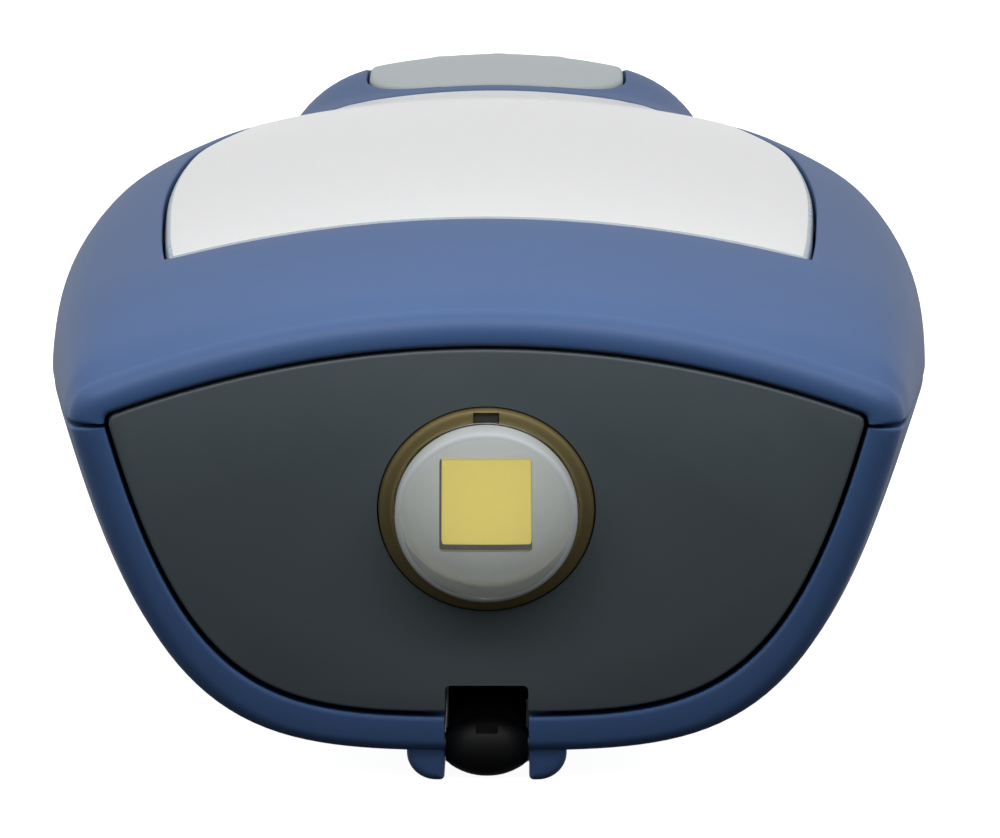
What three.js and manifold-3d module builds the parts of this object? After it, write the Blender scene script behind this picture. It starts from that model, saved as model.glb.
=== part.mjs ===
// A rechargeable LED hand lamp: a broad curved head with an opal light window on its front and a spot lamp in
// its end, on a narrow handle that holds one round cell, with a fold-out hook and magnets for hanging it up.
// Millimetres. The lamp lies on its back: X runs across it, Y along it from the head's end (-Y) to the tail
// (+Y), and Z up from the surface that it lies on. A station is a distance along the lamp from its front edge.
import * as THREE from "three";
import { mergeVertices } from "three/addons/utils/BufferGeometryUtils.js";
import Module from "manifold-3d";

const wasm = await Module();
wasm.setup();

// ---------- Driving dimensions ----------
const NOSE_LENGTH = 20; // front edge to light window
const WINDOW_LENGTH = 92;
const NECK_LENGTH = 6; // window to cell
const CELL_LENGTH = 65;
const CELL_DIAMETER = 18.2;
const TAIL_LENGTH = 15; // cell to tail end, the charging bay
const WALL = 2.3;
const PLATE_GAP = 0.28; // round each end plate
const GAP = 0.3; // between pieces that meet
const FRONT_WIDTH = 52.6;
const HEAD_WIDTH = 58.6;
const HANDLE_SPARE = 4; // from cell to wall, each side
const TAIL_NARROWING = 1.4; // each side
const FRONT_HEIGHT = 31.1; // of the front edge's middle
const HEAD_HEIGHT = 36.4;
const NECK_HEIGHT = 33.9;
const KEEL_AT_NECK = 4.2; // underside of the body where the cell starts
const ROOM_OVER_CELL = 7.9; // for the board, switch and button between the cell and the handle's top wall
const ROOM_OVER_TAIL = 0.2;
const SPLIT_HEIGHT = 23.6; // of the joint between the shells
const TAIL_SPLIT_HEIGHT = 20;
const FRONT_LEAN = THREE.MathUtils.degToRad(12); // the end face leans back towards its foot
const LEAN_REACH = 40; // how far behind the end face its lean still shapes the body
const EDGE_RADIUS = 1; // round the two ends
const WINDOW_MARGIN = 7.3; // window to widest line of the body
const WINDOW_THICKNESS = 1.2;
const WINDOW_LEDGE = 1.3;
const COVER_THICKNESS = 1.2;
const COVER_HALF_WIDTH = 10;
const COVER_LENGTH = 58;
const COVER_CORNER = 6;
const SPOT_MARGIN = 6.5; // from the front edge down the end face to the spot's ring
const SPOT_DIAMETER = 13.6; // of the ring in the end plate
const RING_WALL = 1.05; // ring round the spot lens
const PLATE_THICKNESS = 2;
const PIVOT_HEIGHT = 2.1;
const PIVOT_SETBACK = 2.3; // pivot behind the end face, at its own height
const HUB_RADIUS = 2;
const PIN_RADIUS = 0.8;
const STEM_WIDTH = 5;
const STEM_LENGTH = 16;
const HOOK_THICKNESS = 3.4;
const CROOK_RADIUS = 8.5; // to the middle of its bar
const CROOK_BAR = 4.4;
const CRADLE_WALL = 1.2; // round the recess that the hook folds into
const RAIL_WIDTH = 2.4;
const BUTTON_SETBACK = 8; // behind the handle's highest line
const BUTTON_LENGTH = 15;
const BUTTON_WIDTH = 10;
const BUTTON_TRAVEL = 0.8;
const MAGNET_RADIUS = 9;
const MAGNET_THICKNESS = 3;
const CUP_WALL = 1.2;
const TAIL_MAGNET_RADIUS = 4.2;
const PORT_WIDTH = 9;
const PORT_HEIGHT = 3.3;
const FLAP_WIDTH = 13;
const FLAP_HEIGHT = 6.2;
const FLAP_THICKNESS = 1;
const SCREW_RADIUS = 1.2;
const SCREW_HEAD_RADIUS = 2.3;
const SCREW_LENGTH = 12;
const SCREW_HEAD_THICKNESS = 1.6;
const DRIVE_RADIUS = 1; // of the hexagon in a screw's head
const DRIVE_DEPTH = 0.9;
const BOSS_WALL = 0.8;
const RIBBON_WIDTH = 4;
const BOARD = 1.2; // thickness of a printed circuit board
const CONTROL_BOARD = 1; // the same, of the handle's

// ---------- Places that follow from them ----------
const SPOT_DROP = SPOT_MARGIN + SPOT_DIAMETER / 2; // of the spot's axis
const WINDOW_START = NOSE_LENGTH;
const WINDOW_END = WINDOW_START + WINDOW_LENGTH;
const CELL_START = WINDOW_END + NECK_LENGTH;
const CELL_END = CELL_START + CELL_LENGTH;
const LENGTH = CELL_END + TAIL_LENGTH;
const HANDLE_WIDTH = CELL_DIAMETER + 2 * (HANDLE_SPARE + WALL);
const HANDLE_TOP = KEEL_AT_NECK + 2 * WALL + GAP + CELL_DIAMETER;
const GRIP_HEIGHT = HANDLE_TOP + ROOM_OVER_CELL;
const TAIL_HEIGHT = HANDLE_TOP + ROOM_OVER_TAIL;
const COVER_START = WINDOW_END + 3;
const GRIP_PEAK = WINDOW_END + 12; // station of the handle's highest line
const along = (station) => station - LENGTH / 2;
const inWindow = (share) => WINDOW_START + share * WINDOW_LENGTH;

// ---------- Body shape ----------
// A smooth line through [station, value] points that never overshoots them.
function profile(points) {
  const slopes = points.map((_, i) => {
    if (i === 0 || i === points.length - 1) return 0;
    const before = (points[i][1] - points[i - 1][1]) / (points[i][0] - points[i - 1][0]);
    const after = (points[i + 1][1] - points[i][1]) / (points[i + 1][0] - points[i][0]);
    return before * after <= 0 ? 0 : (2 * before * after) / (before + after);
  });
  slopes[0] = (points[1][1] - points[0][1]) / (points[1][0] - points[0][0]);
  return (station) => {
    const s = THREE.MathUtils.clamp(station, points[0][0], points[points.length - 1][0]);
    let i = 0;
    while (i < points.length - 2 && s > points[i + 1][0]) i += 1;
    const [x0, y0] = points[i];
    const [x1, y1] = points[i + 1];
    const h = x1 - x0;
    const t = (s - x0) / h;
    const u = 1 - t;
    return (
      y0 * (1 + 2 * t) * u * u + h * slopes[i] * t * u * u + y1 * t * t * (3 - 2 * t) - h * slopes[i + 1] * t * t * u
    );
  };
}

const widthBetween = (share) => (HANDLE_WIDTH + (HEAD_WIDTH - HANDLE_WIDTH) * share) / 2;
const halfWidth = profile([
  [0, FRONT_WIDTH / 2],
  [NOSE_LENGTH * 0.6, widthBetween(0.87)],
  [inWindow(0.09), widthBetween(0.965)],
  [inWindow(0.27), HEAD_WIDTH / 2],
  [inWindow(0.49), widthBetween(0.95)],
  [inWindow(0.7), widthBetween(0.75)],
  [inWindow(0.87), widthBetween(0.48)],
  [WINDOW_END, widthBetween(0.26)],
  [GRIP_PEAK, widthBetween(0.11)],
  [GRIP_PEAK + 16, widthBetween(0.03)],
  [CELL_END, HANDLE_WIDTH / 2],
  [LENGTH, HANDLE_WIDTH / 2 - TAIL_NARROWING],
]);
const crown = profile([
  [0, FRONT_HEIGHT],
  [NOSE_LENGTH * 0.4, FRONT_HEIGHT + (HEAD_HEIGHT - FRONT_HEIGHT) * 0.34],
  [WINDOW_START, FRONT_HEIGHT + (HEAD_HEIGHT - FRONT_HEIGHT) * 0.68],
  [inWindow(0.22), HEAD_HEIGHT - 0.4],
  [inWindow(0.43), HEAD_HEIGHT],
  [inWindow(0.7), HEAD_HEIGHT - 0.6],
  [WINDOW_END, NECK_HEIGHT],
  [COVER_START, NECK_HEIGHT + 0.1],
  [GRIP_PEAK, GRIP_HEIGHT],
  [GRIP_PEAK + 11, GRIP_HEIGHT - 0.8],
  [CELL_END, TAIL_HEIGHT + 1.9],
  [LENGTH, TAIL_HEIGHT],
]);
const belt = profile([
  [0, SPLIT_HEIGHT],
  [inWindow(0.87), SPLIT_HEIGHT],
  [LENGTH, TAIL_SPLIT_HEIGHT],
]);
const keel = profile([
  [0, 2],
  [inWindow(0.27), 2.3],
  [CELL_START, KEEL_AT_NECK],
  [CELL_END - 15, 1.2],
  [CELL_END + 3, -0.6],
  [LENGTH, -0.3],
]);
const crownRadius = profile([
  [0, 64],
  [WINDOW_START, 79],
  [inWindow(0.43), 90],
  [inWindow(0.87), 70],
  [GRIP_PEAK, 48],
  [LENGTH, 40],
]);
const flatShare = profile([
  [0, 0.913],
  [NOSE_LENGTH * 0.75, 0.79],
  [inWindow(0.22), 0.7],
  [inWindow(0.65), 0.62],
  [WINDOW_END, 0.52],
  [LENGTH, 0.57],
]);
const bilge = profile([
  [0, 0.79],
  [inWindow(0.43), 0.77],
  [LENGTH, 0.92],
]);
const SHOULDER_PULL = 0.66;
const KEEL_FLAT = 0.54;

const CROWN_STEPS = 3;
const SHOULDER_STEPS = 3;
const HULL_STEPS = 5;
const bezier = (p0, p1, p2, p3, steps) => new THREE.CubicBezierCurve(p0, p1, p2, p3).getPoints(steps).slice(1);

// The body's outline across itself at a station, taken in by an inset: [x, z] from crown to keel on the +X side.
function halfSection(station, inset) {
  const full = halfWidth(station);
  const w = full - inset;
  const top = crown(station) - inset;
  const side = belt(station);
  const low = keel(station) + inset;
  const radius = crownRadius(station);
  const flat = flatShare(station) * w;
  const points = [];
  for (let i = 0; i <= CROWN_STEPS; i += 1) {
    const x = (flat * i) / CROWN_STEPS;
    points.push(new THREE.Vector2(x, top - (x * x) / (2 * radius)));
  }
  const shoulder = points[CROWN_STEPS];
  const reach = SHOULDER_PULL * (w - flat);
  points.push(
    ...bezier(
      shoulder,
      new THREE.Vector2(flat + reach, shoulder.y - (reach * flat) / radius),
      new THREE.Vector2(w, side + SHOULDER_PULL * (shoulder.y - side)),
      new THREE.Vector2(w, side),
      SHOULDER_STEPS,
    ),
    ...bezier(
      new THREE.Vector2(w, side),
      new THREE.Vector2(bilge(station) * w, low),
      new THREE.Vector2(KEEL_FLAT * w, low),
      new THREE.Vector2(0, low),
      HULL_STEPS,
    ),
  );
  return points;
}

function section(station, inset) {
  const half = halfSection(station, inset);
  const mirrored = half.slice(1, -1).reverse();
  return [...half, ...mirrored.map((p) => new THREE.Vector2(-p.x, p.y))];
}

// The end face is a leaning plane, so the stations just behind it lean less and less.
const leanAt = (station, z) =>
  (FRONT_HEIGHT - z) * Math.tan(FRONT_LEAN) * Math.max(0, 1 - Math.max(0, station) / LEAN_REACH);

// A closed solid through rings of the same number of points, each ring a list of Vector3.
function loft(rings) {
  const count = rings[0].length;
  const positions = [];
  const index = [];
  rings.forEach((ring) => ring.forEach((p) => positions.push(p.x, p.y, p.z)));
  const middle = (ring) => ring.reduce((sum, p) => sum.add(p), new THREE.Vector3()).divideScalar(count);
  const first = middle(rings[0]);
  const last = middle(rings[rings.length - 1]);
  positions.push(first.x, first.y, first.z, last.x, last.y, last.z);
  const firstHub = rings.length * count;
  for (let i = 0; i < rings.length - 1; i += 1) {
    for (let j = 0; j < count; j += 1) {
      const a = i * count + j;
      const b = i * count + ((j + 1) % count);
      index.push(a, b, a + count, b, b + count, a + count);
    }
  }
  for (let j = 0; j < count; j += 1) {
    const next = (j + 1) % count;
    const end = (rings.length - 1) * count;
    index.push(firstHub, next, j, firstHub + 1, end + j, end + next);
  }
  return new THREE.BufferGeometry()
    .setAttribute("position", new THREE.Float32BufferAttribute(positions, 3))
    .setIndex(index);
}

const bodyRing = (station, inset, shift = 0) =>
  section(station, inset).map((p) => new THREE.Vector3(p.x, along(station + shift) + leanAt(station, p.y), p.y));

const BODY_STATIONS = [
  ...[0.15, 0.5, 1].map((share) => share * NOSE_LENGTH),
  ...[0.17, 0.36, 0.55, 0.72, 0.87, 1].map(inWindow),
  COVER_START + 2,
  GRIP_PEAK,
  GRIP_PEAK + 11,
  ...[0.5, 0.8, 1].map((share) => CELL_START + share * CELL_LENGTH),
];
// The whole outside of the body as one solid, with its two end edges rounded.
function outerHull() {
  const edge = [0, 0.3, 1].map((share) => [share * EDGE_RADIUS, EDGE_RADIUS * (1 - Math.sqrt(share * (2 - share)))]);
  return solid(
    loft([
      ...edge.map(([depth, inset]) => bodyRing(0, inset, depth)),
      ...BODY_STATIONS.map((station) => bodyRing(station, 0)),
      ...edge.reverse().map(([depth, inset]) => bodyRing(LENGTH, inset, -depth)),
    ]),
  );
}
// The same shape taken in by an inset, running out through the front and ending short of the tail.
function innerHull(inset, tailEnd = LENGTH + 1) {
  const stations = BODY_STATIONS.filter((station) => station < tailEnd);
  return solid(
    loft([bodyRing(0, inset, -6), ...stations.map((station) => bodyRing(station, inset)), bodyRing(tailEnd, inset)]),
  );
}

// ---------- Solids and booleans ----------
function signedVolume(geometry) {
  const { position } = geometry.attributes;
  const corner = (i) => new THREE.Vector3().fromBufferAttribute(position, geometry.index.getX(i));
  let volume = 0;
  for (let i = 0; i < geometry.index.count; i += 3) volume += corner(i).cross(corner(i + 1)).dot(corner(i + 2));
  return volume / 6;
}
function solid(geometry) {
  const bare = new THREE.BufferGeometry().setAttribute("position", geometry.getAttribute("position"));
  if (geometry.index) bare.setIndex(geometry.index);
  const merged = mergeVertices(bare, 1e-4);
  if (signedVolume(merged) < 0) merged.index.array.reverse();
  return new wasm.Manifold(
    new wasm.Mesh({
      numProp: 3,
      vertProperties: merged.attributes.position.array,
      triVerts: new Uint32Array(merged.index.array),
    }),
  );
}
function geometryOf(manifold) {
  const made = manifold.getMesh();
  return new THREE.BufferGeometry()
    .setAttribute("position", new THREE.Float32BufferAttribute(made.vertProperties, 3))
    .setIndex(Array.from(made.triVerts));
}
const shapeOf = (points) => new THREE.Shape(points.map(([x, y]) => new THREE.Vector2(x, y)));
const extrude = (shape, depth) => new THREE.ExtrudeGeometry(shape, { depth, bevelEnabled: false, curveSegments: 8 });
// A prism over an outline seen from above: x across, y a station.
function planPrism(points, low, high) {
  const placed = points.map(([x, station]) => [x, along(station)]);
  return solid(extrude(shapeOf(placed), high - low).translate(0, 0, low));
}
// A prism over an outline seen from the side: stations and heights, as wide as halfDepth each side of the middle.
function sidePrism(points, halfDepth) {
  const turned = new THREE.Matrix4().makeBasis(
    new THREE.Vector3(0, 1, 0),
    new THREE.Vector3(0, 0, 1),
    new THREE.Vector3(1, 0, 0),
  );
  const placed = points.map(([station, z]) => [along(station), z]);
  return solid(extrude(shapeOf(placed), 2 * halfDepth).translate(0, 0, -halfDepth).applyMatrix4(turned));
}
const box = (width, length, height, x, station, z) =>
  solid(new THREE.BoxGeometry(width, length, height).translate(x, along(station), z));
const roundBar = (radius, low, high, x, station, sides = 24) =>
  solid(
    new THREE.CylinderGeometry(radius, radius, high - low, sides)
      .rotateX(Math.PI / 2)
      .translate(x, along(station), (low + high) / 2),
  );

// Pieces on the end face are drawn flat on it: x across, y up it from the front edge, z out of it.
const faceMatrix = new THREE.Matrix4()
  .makeRotationX(Math.PI / 2 + FRONT_LEAN)
  .setPosition(0, along(0), FRONT_HEIGHT);
const onFace = (geometry) => solid(geometry.applyMatrix4(faceMatrix));
const faceTurned = (profilePoints, segments = 28) =>
  onFace(
    new THREE.LatheGeometry(profilePoints.map(([r, z]) => new THREE.Vector2(r, z)), segments)
      .rotateX(Math.PI / 2)
      .translate(0, -SPOT_DROP, 0),
  );
const facePrism = (points, back, front) => onFace(extrude(shapeOf(points), front - back).translate(0, 0, back));
const faceOutline = (inset) =>
  section(0, inset).map((p) => [p.x, (p.y - FRONT_HEIGHT) / Math.cos(FRONT_LEAN)]);

// ---------- Outlines seen from above ----------
const OUTLINE_STEPS = 7;
const CORNER = 2.5;
// Half an outline that keeps a margin inside the body's widest line, from a front station to a back one.
function edgeLine(front, back, inset) {
  const line = [];
  for (let i = 0; i <= OUTLINE_STEPS; i += 1) {
    const station = front + ((back - front) * i) / OUTLINE_STEPS;
    line.push([halfWidth(station) - inset, station]);
  }
  return line;
}
const bothSides = (line) => [...line, ...line.map(([x, y]) => [-x, y]).reverse()];
function windowOutline(inset) {
  const back = WINDOW_END - inset;
  const line = edgeLine(WINDOW_START + inset, back - CORNER, WINDOW_MARGIN + inset);
  const endWidth = line[line.length - 1][0];
  return bothSides([
    ...line,
    [endWidth - 0.35 * CORNER, back - 0.3 * CORNER],
    [endWidth - 1.1 * CORNER, back],
  ]);
}
function roundedBar(halfWide, front, back, radius) {
  const line = [];
  const steps = 4;
  for (let i = 0; i <= steps; i += 1) {
    const turn = (Math.PI / 2) * (i / steps);
    line.push([halfWide - radius + radius * Math.sin(turn), front + radius - radius * Math.cos(turn)]);
  }
  for (let i = 0; i <= steps; i += 1) {
    const turn = (Math.PI / 2) * (i / steps);
    line.push([halfWide - radius + radius * Math.cos(turn), back - radius + radius * Math.sin(turn)]);
  }
  return bothSides(line);
}
const coverOutline = (inset) =>
  roundedBar(COVER_HALF_WIDTH - inset, COVER_START + inset, COVER_START + COVER_LENGTH - inset, COVER_CORNER);
const magnetStation = inWindow(0.5);
const buttonStart = GRIP_PEAK + BUTTON_SETBACK;
const buttonEnd = buttonStart + BUTTON_LENGTH;
const buttonOutline = (inset) =>
  roundedBar(BUTTON_WIDTH / 2 - inset, buttonStart + inset, buttonEnd - inset, BUTTON_WIDTH / 2 - inset - 0.01);
const arcPoints = (x, y, radius, from, to, steps) =>
  Array.from({ length: steps + 1 }, (_, i) => {
    const turn = THREE.MathUtils.degToRad(from + ((to - from) * i) / steps);
    return [x + radius * Math.cos(turn), y + radius * Math.sin(turn)];
  });

// ---------- Shared solids ----------
const hull = outerHull().subtract(box(2 * HEAD_WIDTH, 2 * LENGTH, 10, 0, LENGTH / 2, -5)); // flat foot at z = 0
const insets = new Map();
const inside = (inset) => {
  if (!insets.has(inset)) insets.set(inset, innerHull(inset));
  return insets.get(inset);
};
const HIGH = 60;
const prismUp = (outline, low = SPLIT_HEIGHT) => planPrism(outline, low, HIGH);
// Everything above the split line, moved up by a lift.
function aboveSplit(lift) {
  const stations = [-LENGTH, 0, inWindow(0.87), CELL_START, CELL_START + CELL_LENGTH / 2, CELL_END, 2 * LENGTH];
  const line = stations.map((station) => [station, belt(station) + lift]);
  return sidePrism([...line, [2 * LENGTH, HIGH], [-LENGTH, HIGH]], HEAD_WIDTH);
}
const faceSlab = (back, front) => facePrism([[-60, -60], [60, -60], [60, 60], [-60, 60]], back, front);
const tailSlab = (front, back) => box(2 * HEAD_WIDTH, back - front, 2 * HIGH, 0, (front + back) / 2, 0);

// ---------- Hook, its pin, rails and recess ----------
const pivotStation = leanAt(0, PIVOT_HEIGHT) + PIVOT_SETBACK;
const crookCentre = pivotStation + STEM_LENGTH + CROOK_RADIUS;
const hookLow = keel(crookCentre) + 0.2;
const hookHigh = hookLow + HOOK_THICKNESS;
const recessTop = hookHigh + GAP;
const halfStem = STEM_WIDTH / 2;
const channel = halfStem + GAP;
const recessRadius = CROOK_RADIUS + CROOK_BAR / 2 + 2 * GAP;
const crookRoom = recessRadius + CRADLE_WALL - 1;
const SCOOP_RADIUS = 4;
const acrossX = (geometry) => geometry.rotateZ(Math.PI / 2);
const alongX = (radius, length, sides = 24) =>
  solid(
    acrossX(new THREE.CylinderGeometry(radius, radius, length, sides)).translate(
      0,
      along(pivotStation),
      PIVOT_HEIGHT,
    ),
  );

function hook() {
  const barrel = new THREE.LatheGeometry(
    [
      [0, -halfStem],
      [HUB_RADIUS - 0.55, -halfStem],
      [HUB_RADIUS - 0.15, -halfStem / 2],
      [HUB_RADIUS, 0],
      [HUB_RADIUS - 0.15, halfStem / 2],
      [HUB_RADIUS - 0.55, halfStem],
      [0, halfStem],
    ].map(([r, z]) => new THREE.Vector2(r, z)),
    24,
  );
  const hub = solid(acrossX(barrel).translate(0, along(pivotStation), PIVOT_HEIGHT));
  const crank = sidePrism(
    [
      [pivotStation - 0.8, PIVOT_HEIGHT + 1],
      [pivotStation + 2.2, hookHigh],
      [pivotStation + 8, hookHigh],
      [pivotStation + 8, hookLow],
      [pivotStation + 3.2, hookLow],
      [pivotStation + 1.2, PIVOT_HEIGHT - 1.2],
    ],
    halfStem,
  );
  const stem = planPrism(
    [
      [-halfStem, pivotStation + 5],
      [halfStem, pivotStation + 5],
      [halfStem, crookCentre - CROOK_RADIUS + 1],
      [-halfStem, crookCentre - CROOK_RADIUS + 1],
    ],
    hookLow,
    hookHigh,
  );
  const [from, to] = [-90, 200];
  const tip = THREE.MathUtils.degToRad(to);
  const crook = planPrism(
    [
      ...arcPoints(0, crookCentre, CROOK_RADIUS + CROOK_BAR / 2, from, to, 26),
      ...arcPoints(
        CROOK_RADIUS * Math.cos(tip),
        crookCentre + CROOK_RADIUS * Math.sin(tip),
        CROOK_BAR / 2,
        to,
        to + 180,
        6,
      ).slice(1, -1),
      ...arcPoints(0, crookCentre, CROOK_RADIUS - CROOK_BAR / 2, to, from, 20),
    ],
    hookLow,
    hookHigh,
  );
  return hub.add(crank).add(stem).add(crook).subtract(alongX(PIN_RADIUS + GAP, 4 * STEM_WIDTH));
}
const hookPin = () => alongX(PIN_RADIUS, 2 * (channel + RAIL_WIDTH) - GAP);

// Rails either side of the hook's hub, square inside and rounded outside, that carry its pin.
function rail(side) {
  const outer = channel + RAIL_WIDTH;
  const round = RAIL_WIDTH - 0.2;
  const profilePoints = [
    [channel, 0],
    ...arcPoints(outer - round, round, round, -90, 0, 5),
    [outer, keel(0) + WALL],
    [channel, keel(0) + WALL],
  ];
  const bar = extrude(shapeOf(profilePoints.map(([x, z]) => [x * side, z])), LENGTH)
    .rotateX(Math.PI / 2)
    .translate(0, along(LENGTH), 0);
  const foot = leanAt(0, 0);
  const top = keel(0) + WALL + 1;
  const limit = sidePrism(
    [
      [foot + 0.4, -1],
      [foot + 0.4, 0.3],
      [leanAt(0, 1) + 0.1, 1],
      [leanAt(0, top), top],
      [pivotStation + 12, top],
      [pivotStation + 10.5, keel(0)],
      [pivotStation + 4.5, 0],
      [pivotStation + 4.5, -1],
    ],
    2 * outer,
  );
  return solid(bar).intersect(limit);
}
const mouthFront = -5;
function recessSolid(spare, top) {
  const disc = roundBar(recessRadius + spare, -5, top, 0, crookCentre, 32);
  const wide = channel + spare;
  const slot = planPrism(
    [
      [-wide, mouthFront],
      [wide, mouthFront],
      [wide, crookCentre],
      [-wide, crookCentre],
    ],
    -5,
    top,
  );
  const scoop = roundBar(SCOOP_RADIUS + spare, -5, top, 0, crookCentre + recessRadius - 1, 20);
  return disc.add(slot).add(scoop);
}

// ---------- Case screws and their bosses ----------
const SEAT_DEPTH = 3; // screw seat below the split
const SHANK = SCREW_LENGTH - SEAT_DEPTH;
const headRadius = SCREW_HEAD_RADIUS - 0.1;
const wellRadius = headRadius + GAP;
const boreRadius = SCREW_RADIUS + GAP;
const NECK_SCREW_ROOM = 1.9; // from the cell's side to a screw's axis
const bossRadius = wellRadius + BOSS_WALL;
const screwPlaces = [
  { place: "front", x: crookRoom + bossRadius, station: NOSE_LENGTH - 5 },
  { place: "neck", x: CELL_DIAMETER / 2 + NECK_SCREW_ROOM, station: WINDOW_END + NECK_LENGTH / 2 },
  { place: "tail", x: PORT_WIDTH / 2 + GAP + bossRadius, station: CELL_END + 5 },
].flatMap(({ place, x, station }) => [
  { name: `case_screw_${place}_left`, x: -x, station },
  { name: `case_screw_${place}_right`, x, station },
]);
const lowerBoss = ({ x, station }) => roundBar(bossRadius, -1, belt(station) - GAP / 2, x, station, 14);
const upperBoss = ({ x, station }) => roundBar(boreRadius + GAP + BOSS_WALL, belt(station) + GAP / 2, HIGH, x, station, 10);
const screwCut = ({ x, station }) =>
  roundBar(wellRadius, -5, belt(station) - SEAT_DEPTH, x, station, 14).add(
    roundBar(boreRadius, -1, belt(station) - SEAT_DEPTH + SHANK, x, station, 10),
  );
function caseScrew({ x, station }) {
  const seat = belt(station) - SEAT_DEPTH - GAP;
  const low = seat - SCREW_HEAD_THICKNESS;
  const head = roundBar(headRadius, low, seat, x, station, 14);
  const drive = roundBar(DRIVE_RADIUS, low - 1, low + DRIVE_DEPTH, x, station, 6);
  return head.subtract(drive).add(roundBar(SCREW_RADIUS, seat - 0.1, seat + SHANK, x, station, 8));
}

// ---------- Shells ----------
const PLATE_RECESS = 0.2; // each end plate below the shells' edge
const SEAL_THICKNESS = 0.6;
const plateBack = PLATE_RECESS + PLATE_THICKNESS;
const ledgeStart = plateBack + SEAL_THICKNESS + 2 * GAP;
const LEDGE_THICKNESS = 1.4;
const LEDGE_WIDTH = 1.5;
const TONGUE = 1.3;
const TONGUE_INSET = WALL - 1;
const WINDOW_SEAL_THICKNESS = 0.5;
const frameDepth = WINDOW_THICKNESS + WINDOW_SEAL_THICKNESS + 2 * GAP;
const FRAME_WIDTH = 1.5;
const FRAME_THICKNESS = 1.2;
const frameBack = frameDepth + FRAME_THICKNESS;
const MAGNET_CUP_RADIUS = MAGNET_RADIUS + GAP + CUP_WALL;
const PAD_RIM = 1.5; // pad round the cup
const PAD_RADIUS = MAGNET_CUP_RADIUS + PAD_RIM;
const PAD_THICKNESS = 1.2;
const cupLow = PAD_THICKNESS + GAP;
const cupHigh = cupLow + MAGNET_THICKNESS + GAP + CUP_WALL;

const cellHeight = KEEL_AT_NECK + WALL + GAP + CELL_DIAMETER / 2;
const cellBar = (radius, from, to, sides = 28) =>
  solid(
    new THREE.CylinderGeometry(radius, radius, to - from, sides).translate(0, along((from + to) / 2), cellHeight),
  );

// The plain casing: walls, the window's frame, and a ledge inside each end for the end plates.
const frontLedge = faceSlab(-ledgeStart - LEDGE_THICKNESS, -ledgeStart);
const tailLedge = tailSlab(LENGTH - ledgeStart - LEDGE_THICKNESS, LENGTH - ledgeStart);
function casing() {
  const linerStart = inside(WALL - GAP);
  const frame = linerStart.subtract(inside(frameBack)).intersect(prismUp(windowOutline(-FRAME_WIDTH)));
  const ledges = linerStart.subtract(inside(WALL + LEDGE_WIDTH)).intersect(frontLedge.add(tailLedge));
  return hull.subtract(inside(WALL)).add(frame).add(ledges);
}
const bothScrews = (make) => screwPlaces.map(make).reduce((all, one) => all.add(one));
const tongueReach = (spare) =>
  faceSlab(-2 * LENGTH, -plateBack + spare).subtract(tailSlab(LENGTH - plateBack + spare, 2 * LENGTH));
const tongueBand = (outer, inner, low, high) =>
  inside(outer).subtract(inside(inner)).intersect(aboveSplit(low)).subtract(aboveSplit(high));

function lowerShell(walls) {
  const liner = inside(WALL - GAP);
  const tongue = tongueBand(TONGUE_INSET, WALL, -0.5, TONGUE).intersect(tongueReach(0));
  const bosses = bothScrews(lowerBoss).intersect(hull);
  const cradle = recessSolid(CRADLE_WALL, recessTop + CRADLE_WALL)
    .intersect(hull)
    .subtract(faceSlab(-plateBack - GAP, 20));
  const magnetBoss = roundBar(PAD_RADIUS + GAP + CUP_WALL, 0.6, cupHigh + GAP + CUP_WALL, 0, magnetStation, 32);
  const ribs = [0.2, 0.8]
    .map((share) => box(HANDLE_WIDTH, 2, cellHeight - 1, 0, CELL_START + share * CELL_LENGTH, (cellHeight - 1) / 2))
    .reduce((all, one) => all.add(one))
    .intersect(liner)
    .subtract(cellBar(CELL_DIAMETER / 2 + GAP, CELL_START, CELL_END));
  return walls
    .subtract(aboveSplit(-GAP / 2))
    .add(tongue)
    .add(bosses)
    .add(cradle)
    .add(magnetBoss)
    .add(ribs)
    .subtract(recessSolid(0, recessTop))
    .add(rail(-1))
    .add(rail(1))
    .subtract(alongX(PIN_RADIUS + GAP, 2 * (channel + RAIL_WIDTH) + GAP))
    .subtract(roundBar(PAD_RADIUS + GAP, -1, cupLow, 0, magnetStation, 32))
    .subtract(roundBar(MAGNET_CUP_RADIUS + GAP, 0, cupHigh + GAP, 0, magnetStation, 32))
    .subtract(bothScrews(screwCut));
}

const buttonRoom = prismUp(buttonOutline(-GAP));
const LIGHT_RADIUS = 1.1;
const LIGHT_SPACING = 4.5;
const lightStation = buttonEnd + 7;
const lights = [-1, 0, 1].map((step) => ({ name: `charge_light_${step + 2}`, x: step * LIGHT_SPACING }));
const lightBar = (x, radius, low) => roundBar(radius, low, HIGH, x, lightStation, 12);
function upperShell(walls) {
  const groove = tongueBand(TONGUE_INSET - GAP, WALL + GAP, -1, TONGUE + GAP).intersect(tongueReach(GAP));
  const lightHoles = lights.map(({ x }) => lightBar(x, LIGHT_RADIUS + GAP, SPLIT_HEIGHT));
  return walls
    .intersect(aboveSplit(GAP / 2))
    .add(bothScrews(upperBoss).intersect(hull))
    .subtract(groove)
    .subtract(prismUp(windowOutline(0)).subtract(inside(frameDepth)))
    .subtract(prismUp(windowOutline(WINDOW_LEDGE)))
    .subtract(prismUp(coverOutline(0)).subtract(inside(COVER_THICKNESS + GAP)))
    .subtract(buttonRoom)
    .subtract(lightHoles.reduce((all, one) => all.add(one)))
    .subtract(bothScrews(screwCut));
}

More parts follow.
